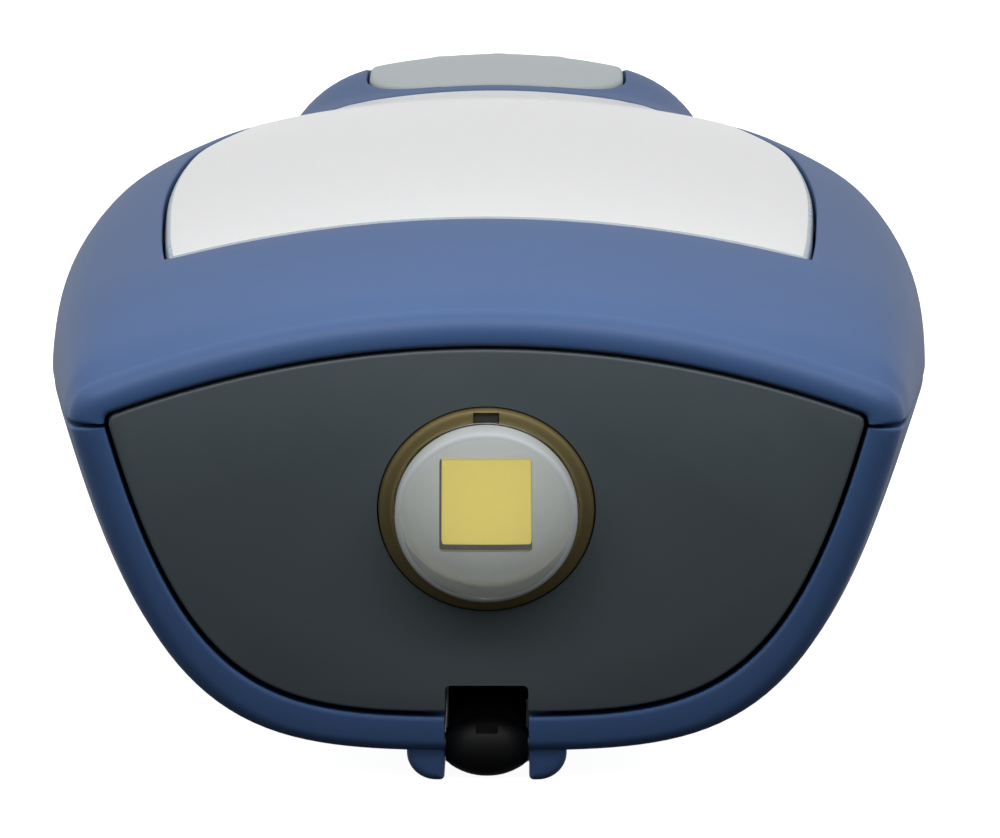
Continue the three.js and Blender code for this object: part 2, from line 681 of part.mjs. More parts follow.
// ---------- Light window and what lies under it ----------
const TRAY_DROP = 3.7; // tray's floor below the split
const trayLow = SPLIT_HEIGHT - TRAY_DROP;
const TRAY_FLOOR = 1.2;
const TRAY_WALL = 1.2;
const STRIP_WIDTH = 6;
const STRIP_THICKNESS = 0.8;
const SPREADER_THICKNESS = 2.5;
const ledBoardLow = trayLow + TRAY_FLOOR + GAP;
const ledBoardTop = ledBoardLow + BOARD;
const lightWindow = () =>
  hull.intersect(prismUp(windowOutline(GAP))).subtract(inside(WINDOW_THICKNESS));
const windowSeal = () =>
  inside(WINDOW_THICKNESS + GAP)
    .subtract(inside(WINDOW_THICKNESS + GAP + WINDOW_SEAL_THICKNESS))
    .intersect(prismUp(windowOutline(GAP)).subtract(prismUp(windowOutline(WINDOW_LEDGE))));
function lightTray() {
  const leadNotch = box(2 * RIBBON_WIDTH, 8, 20, 0, WINDOW_END, ledBoardTop + 10);
  return prismUp(windowOutline(GAP), trayLow)
    .intersect(inside(frameBack + GAP))
    .subtract(prismUp(windowOutline(GAP + TRAY_WALL), trayLow + TRAY_FLOOR))
    .subtract(leadNotch);
}
const boardOutline = windowOutline(GAP + TRAY_WALL + GAP);
const ledBoard = () => planPrism(boardOutline, ledBoardLow, ledBoardTop);
function ledStrip(side) {
  const end = inWindow(0.88);
  const x = 0.65 * (halfWidth(end) - WINDOW_MARGIN - GAP - TRAY_WALL - GAP);
  const low = ledBoardTop + GAP;
  const front = WINDOW_START + 6;
  return box(STRIP_WIDTH, end - front, STRIP_THICKNESS, side * x, (front + end) / 2, low + STRIP_THICKNESS / 2);
}
const heatSpreader = () => planPrism(windowOutline(GAP), trayLow - GAP - SPREADER_THICKNESS, trayLow - GAP);

// ---------- Front end plate and spot lamp ----------
const notch = (spare) =>
  box(2 * (channel + spare), 30, recessTop - GAP + spare, 0, 0, (recessTop - GAP + spare) / 2);
const ringRadius = SPOT_DIAMETER / 2;
const lensRadius = ringRadius - RING_WALL;
const LENS_DEPTH = 1.5; // of these, below the front edge's plane
const LENS_WALL = 1.15; // lens's straight side, above that plane
const LENS_BEVEL = 0.38;
const LENS_RISE = 2.3;
const RING_DEPTH = 3.2;
const RING_PROUD = 0.15;
const RING_LIP = 0.6; // under the lens
const REFLECTOR_DEPTH = 4.2;
const REFLECTOR_WALL = 0.7;
const SPOT_LED = 5;
const SPOT_LED_DEPTH = 4.2;
const SPOT_BOARD_DEPTH = 5.5;
const SPOT_SINK_DEPTH = 8.3;
const spotHole = (spare, back) =>
  faceTurned([
    [0, back],
    [ringRadius + spare, back],
    [ringRadius + spare, 5],
    [0, 5],
  ]);
function endPlate() {
  const socket = spotHole(GAP + 1.1, -plateBack - 3).subtract(faceSlab(-plateBack + 0.5, 20));
  return facePrism(faceOutline(WALL + PLATE_GAP), -plateBack, -PLATE_RECESS)
    .add(socket)
    .subtract(spotHole(GAP, -20))
    .subtract(notch(0));
}
const plateGasket = () =>
  inside(WALL + GAP)
    .subtract(inside(WALL + LEDGE_WIDTH))
    .intersect(faceSlab(-plateBack - GAP - SEAL_THICKNESS, -plateBack - GAP))
    .subtract(notch(CRADLE_WALL + 2 * GAP));
function spotLens() {
  const foot = lensRadius - LENS_BEVEL;
  const low = LENS_WALL + LENS_BEVEL;
  const rise = LENS_RISE - low;
  const domeRadius = (foot ** 2 + rise ** 2) / (2 * rise);
  const dome = Array.from({ length: 5 }, (_, i) => {
    const r = foot * (1 - i / 4);
    return [r, LENS_RISE - domeRadius + Math.sqrt(domeRadius ** 2 - r ** 2)];
  });
  return faceTurned([[0, -LENS_DEPTH], [lensRadius, -LENS_DEPTH], [lensRadius, LENS_WALL], ...dome]);
}
const spotRing = () =>
  faceTurned([
    [lensRadius + 0.2, RING_PROUD],
    [lensRadius + 0.2, -LENS_DEPTH - GAP],
    [lensRadius - RING_LIP, -LENS_DEPTH - GAP],
    [lensRadius - RING_LIP, -RING_DEPTH],
    [ringRadius, -RING_DEPTH],
    [ringRadius, -0.1],
    [ringRadius - 0.25, RING_PROUD],
    [lensRadius + 0.2, RING_PROUD],
  ]);
const spotReflector = () =>
  faceTurned([
    [lensRadius - 2 * RING_LIP, -LENS_DEPTH - 2 * GAP],
    [SPOT_LED * 0.76, -REFLECTOR_DEPTH],
    [SPOT_LED * 0.76 + REFLECTOR_WALL, -REFLECTOR_DEPTH],
    [lensRadius - RING_LIP - GAP, -RING_DEPTH - 0.4],
    [lensRadius - RING_LIP - GAP, -LENS_DEPTH - 2 * GAP],
    [lensRadius - 2 * RING_LIP, -LENS_DEPTH - 2 * GAP],
  ]);
const onSpot = (size, back, front) =>
  onFace(new THREE.BoxGeometry(size, size, front - back).translate(0, -SPOT_DROP, (front + back) / 2));
const spotPhosphor = () => onSpot(0.88 * SPOT_LED, 1 - SPOT_LED_DEPTH, 1.2 - SPOT_LED_DEPTH);
const spotLed = () => onSpot(SPOT_LED, -SPOT_LED_DEPTH, 0.8 - SPOT_LED_DEPTH);
const disc = (radius, back, front) => [
  [0, back],
  [radius, back],
  [radius, front],
  [0, front],
];
const spotBoard = () => faceTurned(disc(ringRadius, -SPOT_BOARD_DEPTH, 1 - SPOT_BOARD_DEPTH), 24);
function spotHeatSink() {
  const fins = [-2, -1, 0, 1, 2].map((step) =>
    onFace(new THREE.BoxGeometry(1.2, 30, 2).translate(3 * step, -SPOT_DROP, -SPOT_SINK_DEPTH)),
  );
  return faceTurned(disc(ringRadius + 0.8, -SPOT_SINK_DEPTH, -SPOT_BOARD_DEPTH - GAP), 24).subtract(fins.reduce((all, one) => all.add(one)));
}

// ---------- Handle: cell, boards, button and cover ----------
const cellTop = cellHeight + CELL_DIAMETER / 2;
const boardLow = cellTop + GAP;
const boardTop = boardLow + CONTROL_BOARD;
const boardFront = CELL_START + 3;
const boardBack = CELL_END - 5;
const cell = () => cellBar(CELL_DIAMETER / 2, CELL_START, CELL_END);
const TAB_WIDTH = 6;
const TAB_THICKNESS = 0.4;
const cellTab = (station) =>
  box(TAB_WIDTH, TAB_THICKNESS, CELL_DIAMETER * 0.8, 0, station, cellTop - CELL_DIAMETER * 0.4);
const controlBoard = () =>
  box(
    0.85 * CELL_DIAMETER,
    boardBack - boardFront,
    boardTop - boardLow,
    0,
    (boardFront + boardBack) / 2,
    (boardLow + boardTop) / 2,
  );
const underCrown = (station, x) => crown(station) - WALL - (x * x) / (2 * crownRadius(station));
const FLANGE = 1; // round the button, under the cover
const FLANGE_THICKNESS = 0.9;
const flangeHigh = underCrown(buttonEnd + FLANGE, BUTTON_WIDTH / 2 + FLANGE) - GAP;
const flangeLow = flangeHigh - FLANGE_THICKNESS;
const powerButton = () =>
  inside(PLATE_RECESS)
    .intersect(prismUp(buttonOutline(0), flangeLow))
    .add(planPrism(buttonOutline(-FLANGE), flangeLow, flangeHigh));
const buttonMiddle = (buttonStart + buttonEnd) / 2;
const switchTop = flangeLow - BUTTON_TRAVEL - GAP;
const SWITCH_WIDTH = 6;
const PLUNGER_HEIGHT = 0.5;
function tactileSwitch() {
  const low = boardTop + GAP;
  const high = switchTop - PLUNGER_HEIGHT;
  return box(SWITCH_WIDTH, SWITCH_WIDTH, high - low, 0, buttonMiddle, (high + low) / 2).add(
    roundBar(1.7, high - 0.1, switchTop, 0, buttonMiddle, 16),
  );
}
const BEZEL = 1.2;
const buttonBezel = () =>
  hull
    .intersect(prismUp(buttonOutline(-GAP - BEZEL)))
    .subtract(inside(COVER_THICKNESS))
    .subtract(buttonRoom);
function handleCover() {
  const holes = lights.map(({ x }) => lightBar(x, LIGHT_RADIUS + GAP, SPLIT_HEIGHT));
  return hull
    .intersect(prismUp(coverOutline(GAP)))
    .subtract(inside(COVER_THICKNESS))
    .subtract(prismUp(buttonOutline(-2 * GAP - BEZEL)))
    .subtract(holes.reduce((all, one) => all.add(one)));
}
const chargeLight = (x) => hull.intersect(lightBar(x, LIGHT_RADIUS, boardTop + GAP));

// ---------- Back magnet ----------
const padProfile = [
  [0, 0],
  [PAD_RADIUS - 0.6, 0],
  [PAD_RADIUS, 0.4],
  [PAD_RADIUS, PAD_THICKNESS],
  [0, PAD_THICKNESS],
];
const magnetPad = () =>
  solid(
    new THREE.LatheGeometry(padProfile.map(([r, z]) => new THREE.Vector2(r, z)), 36)
      .rotateX(Math.PI / 2)
      .translate(0, along(magnetStation), 0),
  );
const backMagnet = () => roundBar(MAGNET_RADIUS, cupLow, cupLow + MAGNET_THICKNESS, 0, magnetStation, 28);
const magnetCup = () =>
  roundBar(MAGNET_CUP_RADIUS, cupLow, cupHigh, 0, magnetStation, 28).subtract(
    roundBar(MAGNET_RADIUS + GAP, 0, cupHigh - CUP_WALL, 0, magnetStation, 28),
  );

// ---------- Tail: plate, charging socket and its flap, magnet ----------
const tailPrism = (points, front, back) =>
  solid(extrude(shapeOf(points), back - front).rotateX(Math.PI / 2).translate(0, along(back), 0));
const portHeight = belt(LENGTH);
const portOutline = (spare) => {
  const r = PORT_HEIGHT / 2 + spare;
  const half = PORT_WIDTH / 2 + spare - r;
  return [...arcPoints(half, portHeight, r, -90, 90, 6), ...arcPoints(-half, portHeight, r, 90, 270, 6)];
};
const flapFace = LENGTH - PLATE_RECESS;
const flapBottom = portHeight - FLAP_HEIGHT / 2;
function flapOutline(spare, bottomSpare) {
  const half = FLAP_WIDTH / 2 + spare;
  const corner = 1.5;
  const top = flapBottom + FLAP_HEIGHT + spare;
  return [
    [-half, flapBottom - bottomSpare],
    [half, flapBottom - bottomSpare],
    ...arcPoints(half - corner, top - corner, corner, 0, 90, 4),
    ...arcPoints(corner - half, top - corner, corner, 90, 180, 4),
  ];
}
const FLAP_TO_MAGNET = 3.2;
const tailMagnetHeight = flapBottom - TAIL_MAGNET_RADIUS - FLAP_TO_MAGNET;
const tailBar = (radius, front, back, height, sides = 24) =>
  solid(
    new THREE.CylinderGeometry(radius, radius, back - front, sides).translate(0, along((front + back) / 2), height),
  );
const TAIL_MAGNET_DEPTH = 2.5;
function tailPlate() {
  const outline = section(LENGTH, WALL + PLATE_GAP).map((p) => [p.x, p.y]);
  const seat = TAIL_MAGNET_RADIUS + GAP;
  const magnetBack = flapFace - TAIL_MAGNET_DEPTH - GAP;
  return tailPrism(outline, LENGTH - plateBack, flapFace)
    .add(tailBar(seat + 1, magnetBack - 1, flapFace - 0.5, tailMagnetHeight))
    .subtract(tailBar(seat, magnetBack, LENGTH + 5, tailMagnetHeight))
    .subtract(tailPrism(flapOutline(GAP, GAP + 0.1), flapFace - FLAP_THICKNESS - GAP, LENGTH + 5))
    .subtract(tailPrism(portOutline(GAP), LENGTH - 10, LENGTH + 5));
}
const tailGasket = () =>
  inside(WALL + GAP)
    .subtract(inside(WALL + LEDGE_WIDTH))
    .intersect(tailSlab(LENGTH - plateBack - GAP - SEAL_THICKNESS, LENGTH - plateBack - GAP));
const tailMagnet = () =>
  tailBar(TAIL_MAGNET_RADIUS, flapFace - TAIL_MAGNET_DEPTH, flapFace, tailMagnetHeight);
const portCover = () =>
  tailPrism(flapOutline(0, 0), flapFace - FLAP_THICKNESS, flapFace).add(
    tailPrism(portOutline(-0.6), flapFace - FLAP_THICKNESS - 1, flapFace - 0.5),
  );
const SOCKET_LENGTH = 7.4;
const socketFront = LENGTH - plateBack - GAP - SOCKET_LENGTH;
function chargeSocket() {
  const mouth = socketFront + SOCKET_LENGTH;
  const tongue = box(0.72 * PORT_WIDTH, SOCKET_LENGTH - 2, 0.7, 0, socketFront + (SOCKET_LENGTH - 2) / 2, portHeight);
  return tailPrism(portOutline(0), socketFront, mouth)
    .subtract(tailPrism(portOutline(-0.35), socketFront + 1, mouth + 1))
    .add(tongue);
}
const chargeBoardTop = portHeight - PORT_HEIGHT / 2 - GAP;
function chargeBoard() {
  const front = CELL_END + 1;
  const back = socketFront + SOCKET_LENGTH;
  return box(PORT_WIDTH, back - front, BOARD, 0, (front + back) / 2, chargeBoardTop - BOARD / 2);
}

// ---------- Flat ribbon leads ----------
const RIBBON_THICKNESS = 0.4;
function ribbon(path, x) {
  const offset = path.map(([s, z], i) => {
    const [s0, z0] = path[Math.max(0, i - 1)];
    const [s1, z1] = path[Math.min(path.length - 1, i + 1)];
    const size = Math.hypot(s1 - s0, z1 - z0);
    return [s - (RIBBON_THICKNESS * (z1 - z0)) / size, z + (RIBBON_THICKNESS * (s1 - s0)) / size];
  });
  return sidePrism([...path, ...offset.reverse()], RIBBON_WIDTH / 2).translate([x, 0, 0]);
}
const ledRibbon = () =>
  ribbon(
    [
      [WINDOW_END - 6, ledBoardTop + GAP],
      [WINDOW_END - 2.5, ledBoardTop + 0.6],
      [WINDOW_END + 0.5, ledBoardTop + 2],
      [CELL_START, boardTop + 0.8],
      [boardFront + 2, boardTop + GAP],
    ],
    0,
  );
const spotRibbon = () =>
  ribbon(
    [
      [NOSE_LENGTH - 7, trayLow - 4],
      [NOSE_LENGTH, trayLow - 7],
      [NOSE_LENGTH + 8, trayLow - 8],
      [WINDOW_END - 4, trayLow - 8],
      [WINDOW_END + 1.5, trayLow - 5],
      [WINDOW_END + 3.2, trayLow + 1],
      [CELL_START - 1.2, cellTop],
      [CELL_START + 1, boardTop + 0.5],
      [boardFront + 2, boardTop + GAP],
    ],
    -RIBBON_WIDTH - 1,
  );
const chargeRibbon = () =>
  ribbon(
    [
      [boardBack - 2, boardTop + GAP],
      [CELL_END - 2, boardTop + 0.2],
      [CELL_END + 0.6, cellTop + 0.6],
      [CELL_END + 1.4, cellTop - 1],
      [CELL_END + 1.8, chargeBoardTop + 1.5],
      [CELL_END + 3.5, chargeBoardTop + GAP],
    ],
    0,
  );

// ---------- Finishes and assembly ----------
const finish = (color, roughness, metalness = 0) => new THREE.MeshStandardMaterial({ color, roughness, metalness });
const finishes = {
  blue: finish("#5a789c", 0.45),
  plate: finish("#3c464a", 0.5),
  opal: finish("#ecf0f1", 0.3),
  softGrey: finish("#b8c0c2", 0.8),
  black: finish("#141517", 0.55),
  rubber: finish("#2a2c2e", 0.85),
  steel: finish("#b4b6b8", 0.3, 1),
  bronze: finish("#6b603d", 0.35, 0.8),
  clear: finish("#dfe6ea", 0.05),
  white: finish("#eeeeea", 0.5),
  phosphor: finish("#d8c460", 0.6),
  board: finish("#1f4a38", 0.5),
  aluminium: finish("#a9acaf", 0.4, 1),
  wrap: finish("#3f74b0", 0.4),
};
function group(...pieces) {
  const made = new THREE.Group();
  pieces.forEach(([name, material, body]) => {
    const mesh = new THREE.Mesh(geometryOf(body), finishes[material]);
    mesh.name = name;
    made.add(mesh);
  });
  return made;
}
const walls = casing();
const shells = group(
  ["upper_shell", "blue", upperShell(walls)],
  ["lower_shell", "blue", lowerShell(walls)],
  ...screwPlaces.map((place) => [place.name, "black", caseScrew(place)]),
);
const mainLight = group(
  ["light_window", "opal", lightWindow()],
  ["window_seal", "rubber", windowSeal()],
  ["light_tray", "white", lightTray()],
  ["led_board", "white", ledBoard()],
  ["led_strip_left", "phosphor", ledStrip(-1)],
  ["led_strip_right", "phosphor", ledStrip(1)],
  ["heat_spreader", "aluminium", heatSpreader()],
  ["led_ribbon", "white", ledRibbon()],
);
const spotLamp = group(
  ["end_plate", "plate", endPlate()],
  ["plate_gasket", "rubber", plateGasket()],
  ["spot_ring", "bronze", spotRing()],
  ["spot_lens", "clear", spotLens()],
  ["spot_reflector", "white", spotReflector()],
  ["spot_phosphor", "phosphor", spotPhosphor()],
  ["spot_led", "white", spotLed()],
  ["spot_board", "board", spotBoard()],
  ["spot_heat_sink", "aluminium", spotHeatSink()],
  ["spot_ribbon", "white", spotRibbon()],
);
const handle = group(
  ["handle_cover", "softGrey", handleCover()],
  ["power_button", "black", powerButton()],
  ["button_bezel", "bronze", buttonBezel()],
  ...lights.map(({ name, x }) => [name, "opal", chargeLight(x)]),
  ["tactile_switch", "black", tactileSwitch()],
  ["control_board", "board", controlBoard()],
  ["battery_cell", "wrap", cell()],
  ["positive_tab", "steel", cellTab(CELL_START - GAP - TAB_THICKNESS / 2)],
  ["negative_tab", "steel", cellTab(CELL_END + GAP + TAB_THICKNESS / 2)],
);
const hanging = group(
  ["hook", "black", hook()],
  ["hook_pin", "steel", hookPin()],
  ["magnet_pad", "rubber", magnetPad()],
  ["back_magnet", "steel", backMagnet()],
  ["magnet_cup", "steel", magnetCup()],
);
const tail = group(
  ["tail_plate", "plate", tailPlate()],
  ["tail_gasket", "rubber", tailGasket()],
  ["tail_magnet", "steel", tailMagnet()],
  ["port_cover", "rubber", portCover()],
  ["charge_socket", "steel", chargeSocket()],
  ["charge_board", "board", chargeBoard()],
  ["charge_ribbon", "white", chargeRibbon()],
);

const lamp = new THREE.Group();
lamp.add(shells, mainLight, spotLamp, handle, hanging, tail);
export default lamp;
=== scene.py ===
import math

import bmesh
import bpy
import numpy as np
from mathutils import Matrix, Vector


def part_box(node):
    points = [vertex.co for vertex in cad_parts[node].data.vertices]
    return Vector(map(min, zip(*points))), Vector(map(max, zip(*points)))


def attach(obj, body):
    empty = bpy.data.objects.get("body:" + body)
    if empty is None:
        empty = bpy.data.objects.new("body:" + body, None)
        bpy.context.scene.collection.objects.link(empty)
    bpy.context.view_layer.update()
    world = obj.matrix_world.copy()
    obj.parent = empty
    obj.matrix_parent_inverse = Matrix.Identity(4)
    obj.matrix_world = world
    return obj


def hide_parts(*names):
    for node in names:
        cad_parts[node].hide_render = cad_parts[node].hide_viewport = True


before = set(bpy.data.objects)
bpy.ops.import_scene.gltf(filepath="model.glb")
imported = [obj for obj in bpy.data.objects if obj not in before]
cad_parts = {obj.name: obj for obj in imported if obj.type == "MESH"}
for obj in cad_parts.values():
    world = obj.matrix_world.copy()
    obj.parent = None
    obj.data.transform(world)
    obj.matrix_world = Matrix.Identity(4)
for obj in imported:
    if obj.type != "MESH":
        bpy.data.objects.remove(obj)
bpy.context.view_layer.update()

# Camera: a long lens close to the floor, looking into the head's end face and along the deck.
head_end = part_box("upper_shell")[0].y
CAMERA_RISE = math.radians(8)
CAMERA_TURN = math.radians(0.28)
CAMERA_DISTANCE = 0.5
aim = Vector((0.000875, head_end - 0.0002, 0.0243))
back = Vector((
    math.sin(CAMERA_TURN) * math.cos(CAMERA_RISE),
    -math.cos(CAMERA_TURN) * math.cos(CAMERA_RISE),
    math.sin(CAMERA_RISE),
))
camera = bpy.data.objects.new("camera", bpy.data.cameras.new("camera"))
camera.data.sensor_width = 36
camera.data.lens = 288
camera.data.clip_start = 0.01
camera.location = aim + CAMERA_DISTANCE * back
camera.rotation_euler = (-back).to_track_quat("-Z", "Y").to_euler()
bpy.context.scene.collection.objects.link(camera)
bpy.context.scene.camera = camera

# ---------------------------------------------------------------------------------------------------------
# Upper shell: the top half of the casing, injection moulded in blue nylon with a fine spark-eroded grain.
# It is a 2.3 mm wall with an opening for the light window and one for the handle cover, and it meets the
# lower shell at the belt line, where both edges are broken by a small radius.
MM = 0.001
LENGTH = 198.0  # millimetres from here on; stations run from the front edge to the tail
NOSE = 20.0
WINDOW_LENGTH = 92.0
CELL_START = 118.0
CELL_END = 183.0
WINDOW_END = NOSE + WINDOW_LENGTH
COVER_START = WINDOW_END + 3
COVER_LENGTH = 58.0
GRIP_PEAK = WINDOW_END + 12
WALL = 2.3
GAP = 0.3
FRONT_HEIGHT = 31.1
HEAD_HEIGHT = 36.4
HEAD_WIDTH = 58.6
HANDLE_WIDTH = 30.8
GRIP_HEIGHT = 35.2
TAIL_HEIGHT = 27.5
SPLIT_HEIGHT = 23.6
WINDOW_MARGIN = 7.3
LEAN = math.tan(math.radians(12))
LEAN_REACH = 40.0
KEEL_FLAT = 0.54
SHOULDER_PULL = 0.66


def along(station):
    return station - LENGTH / 2


def in_window(share):
    return NOSE + share * WINDOW_LENGTH


def width_between(share):
    return (HANDLE_WIDTH + (HEAD_WIDTH - HANDLE_WIDTH) * share) / 2


def line_through(points):
    """A smooth line through (station, value) points that never overshoots them."""
    xs, ys = np.array(points, float).T
    steps = np.diff(ys) / np.diff(xs)
    slopes = np.zeros(len(xs))
    slopes[0] = steps[0]
    for i in range(1, len(xs) - 1):
        before, after = steps[i - 1], steps[i]
        if before * after > 0:
            slopes[i] = 2 * before * after / (before + after)

    def value(station):
        s = min(max(station, xs[0]), xs[-1])
        i = min(int(np.searchsorted(xs, s, side="left")), len(xs) - 1)
        i = max(i - 1, 0)
        h = xs[i + 1] - xs[i]
        t = (s - xs[i]) / h
        u = 1 - t
        return (ys[i] * (1 + 2 * t) * u * u + h * slopes[i] * t * u * u
                + ys[i + 1] * t * t * (3 - 2 * t) - h * slopes[i + 1] * t * t * u)

    return value


half_width = line_through([
    (0, 26.3), (NOSE * 0.6, width_between(0.87)), (in_window(0.09), width_between(0.965)),
    (in_window(0.27), HEAD_WIDTH / 2), (in_window(0.49), width_between(0.95)),
    (in_window(0.7), width_between(0.75)), (in_window(0.87), width_between(0.48)),
    (WINDOW_END, width_between(0.26)), (GRIP_PEAK, width_between(0.11)),
    (GRIP_PEAK + 16, width_between(0.03)), (CELL_END, HANDLE_WIDTH / 2), (LENGTH, HANDLE_WIDTH / 2 - 1.4)])
crown = line_through([
    (0, FRONT_HEIGHT), (NOSE * 0.4, FRONT_HEIGHT + (HEAD_HEIGHT - FRONT_HEIGHT) * 0.34),
    (NOSE, FRONT_HEIGHT + (HEAD_HEIGHT - FRONT_HEIGHT) * 0.68), (in_window(0.22), HEAD_HEIGHT - 0.4),
    (in_window(0.43), HEAD_HEIGHT), (in_window(0.7), HEAD_HEIGHT - 0.6), (WINDOW_END, 33.9),
    (COVER_START, 34.0), (GRIP_PEAK, GRIP_HEIGHT), (GRIP_PEAK + 11, GRIP_HEIGHT - 0.8),
    (CELL_END, TAIL_HEIGHT + 1.9), (LENGTH, TAIL_HEIGHT)])
belt = line_through([(0, SPLIT_HEIGHT), (in_window(0.87), SPLIT_HEIGHT), (LENGTH, 20)])
keel = line_through([
    (0, 2), (in_window(0.27), 2.3), (CELL_START, 4.2), (CELL_END - 15, 1.2), (CELL_END + 3, -0.6),
    (LENGTH, -0.3)])
crown_radius = line_through([
    (0, 64), (NOSE, 79), (in_window(0.43), 90), (in_window(0.87), 70), (GRIP_PEAK, 48), (LENGTH, 40)])
flat_share = line_through([
    (0, 0.913), (NOSE * 0.75, 0.79), (in_window(0.22), 0.7), (in_window(0.65), 0.62),
    (WINDOW_END, 0.52), (LENGTH, 0.57)])
bilge = line_through([(0, 0.79), (in_window(0.43), 0.77), (LENGTH, 0.92)])


def bezier(p0, p1, p2, p3, steps):
    t = np.linspace(0, 1, steps)[:, None]
    p0, p1, p2, p3 = (np.array(p, float) for p in (p0, p1, p2, p3))
    return (1 - t) ** 3 * p0 + 3 * (1 - t) ** 2 * t * p1 + 3 * (1 - t) * t * t * p2 + t ** 3 * p3


def top_curve(station, inset):
    """The body's outline from the crown out and down to the belt, as many (x, z) points."""
    full = half_width(station)
    w = full - inset
    side = belt(station)
    radius = crown_radius(station)
    flat = w - max(0.4, full * (1 - flat_share(station)) - inset)
    x = np.linspace(0, flat, 50)
    arch = np.stack([x, crown(station) - inset - x * x / (2 * radius)], 1)
    top = arch[-1, 1]
    reach = SHOULDER_PULL * (w - flat)
    shoulder = bezier((flat, top), (flat + reach, top - reach * flat / radius),
                      (w, side + SHOULDER_PULL * (top - side)), (w, side), 60)
    return np.concatenate([arch, shoulder[1:]])


def low_curve(station, inset):
    """The body's outline from the belt down to the keel, as many (x, z) points."""
    w = half_width(station) - inset
    low = keel(station) + inset
    curve = bezier((w, belt(station)), (bilge(station) * w, low), (KEEL_FLAT * w, low), (0, low), 110)
    curve[:, 1] = np.maximum(curve[:, 1], inset)
    return curve


def along_curve(curve, distances):
    """Points at the given distances along a curve."""
    run = np.concatenate([[0], np.cumsum(np.hypot(*np.diff(curve, axis=0).T))])
    return np.stack([np.interp(distances, run, curve[:, i]) for i in (0, 1)], 1), run


def lean_at(station, z):
    return (FRONT_HEIGHT - z) * LEAN * max(0, 1 - max(0, station) / LEAN_REACH)


def fillet(radius, steps):
    """Depth and inset of points round a quarter circle, from a face to the side next to it."""
    turns = np.linspace(0, math.pi / 2, steps)
    return [(radius * (1 - math.cos(a)), radius * (1 - math.sin(a))) for a in turns]


def sunk(distance, radius):
    """How far an edge rounded by a radius lies below its surface, at a distance in from the edge."""
    near = np.clip(radius - np.abs(distance), 0, radius)
    return radius - np.sqrt(radius * radius - near * near)


def smoothed(piece, angle):
    """Shades a piece smooth, apart from the edges that turn by more than an angle."""
    piece.data.shade_smooth()
    piece.data.set_sharp_from_angle(angle=math.radians(angle))


def make(name, verts, faces, smooth=35):
    """A mesh object from points and faces, shaded smooth up to an angle between faces."""
    mesh = bpy.data.meshes.new(name)
    mesh.from_pydata([tuple(float(c) * MM for c in v) for v in verts], [], faces)
    mesh.validate()
    mesh.update()
    piece = bpy.data.objects.new(name, mesh)
    smoothed(piece, smooth)
    bpy.context.scene.collection.objects.link(piece)
    return piece


def face_out(piece, smooth):
    """Turns the piece's faces outwards and shades them again."""
    bm = bmesh.new()
    bm.from_mesh(piece.data)
    bmesh.ops.recalc_face_normals(bm, faces=bm.faces)
    bm.to_mesh(piece.data)
    bm.free()
    piece.data.update()
    smoothed(piece, smooth)


def closed_sheet(name, outer, inner, kept, smooth=35):
    """A wall between two grids of points, with the grid cells that aren't kept left open right through."""
    rows, cols = outer.shape[:2]
    count = rows * cols
    faces = []
    for r in range(rows - 1):
        for c in range(cols - 1):
            if not kept[r, c]:
                continue
            a = r * cols + c
            b, d, e = a + 1, a + cols, a + cols + 1
            faces.append((a, b, e, d))
            faces.append((a + count, d + count, e + count, b + count))
            edges = (((r - 1, c), a, b), ((r + 1, c), e, d), ((r, c - 1), d, a), ((r, c + 1), b, e))
            for (rr, cc), p, q in edges:
                outside = not (0 <= rr < rows - 1 and 0 <= cc < cols - 1)
                if outside or not kept[rr, cc]:
                    faces.append((q, p, p + count, q + count))
    verts = np.concatenate([outer.reshape(-1, 3), inner.reshape(-1, 3)])
    used = sorted({i for face in faces for i in face})
    place = {i: n for n, i in enumerate(used)}
    piece = make(name, verts[used], [tuple(place[i] for i in face) for face in faces], smooth)
    face_out(piece, smooth)
    return piece


FRONT_FILLET = 1.7
TAIL_FILLET = 1.0
EDGE = 0.28
CORNER = 2.5
COVER_CORNER = 6.0
COVER_HALF = 10.0


def window_side(station):
    """Half the width of the light window's opening, with its corners rounded."""
    side = half_width(station) - WINDOW_MARGIN
    from_back = WINDOW_END - station
    from_front = station - NOSE
    if 0 <= from_back < CORNER:
        side -= CORNER - math.sqrt(CORNER ** 2 - (CORNER - from_back) ** 2)
    if 0 <= from_front < 0.5:
        side -= 0.5 - math.sqrt(0.25 - (0.5 - from_front) ** 2)
    return side


def cover_side(station):
    """Half the width of the handle cover's opening, with its corners rounded."""
    end = min(station - COVER_START, COVER_START + COVER_LENGTH - station)
    if 0 <= end < COVER_CORNER:
        return COVER_HALF - COVER_CORNER + math.sqrt(COVER_CORNER ** 2 - (COVER_CORNER - end) ** 2)
    return COVER_HALF


def opening_side(station):
    if station <= WINDOW_END:
        return window_side(station)
    if station < COVER_START:
        share = (station - WINDOW_END) / (COVER_START - WINDOW_END)
        return window_side(WINDOW_END) * (1 - share) + cover_side(COVER_START) * share
    if station <= COVER_START + COVER_LENGTH:
        return cover_side(station)
    return COVER_HALF - COVER_CORNER


def rounded_end(start, reach, radius):
    """Stations close together over a rounded corner, from its end inwards."""
    return [start + reach * radius * (1 - math.cos(a)) for a in np.linspace(0, math.pi / 2, 8)]


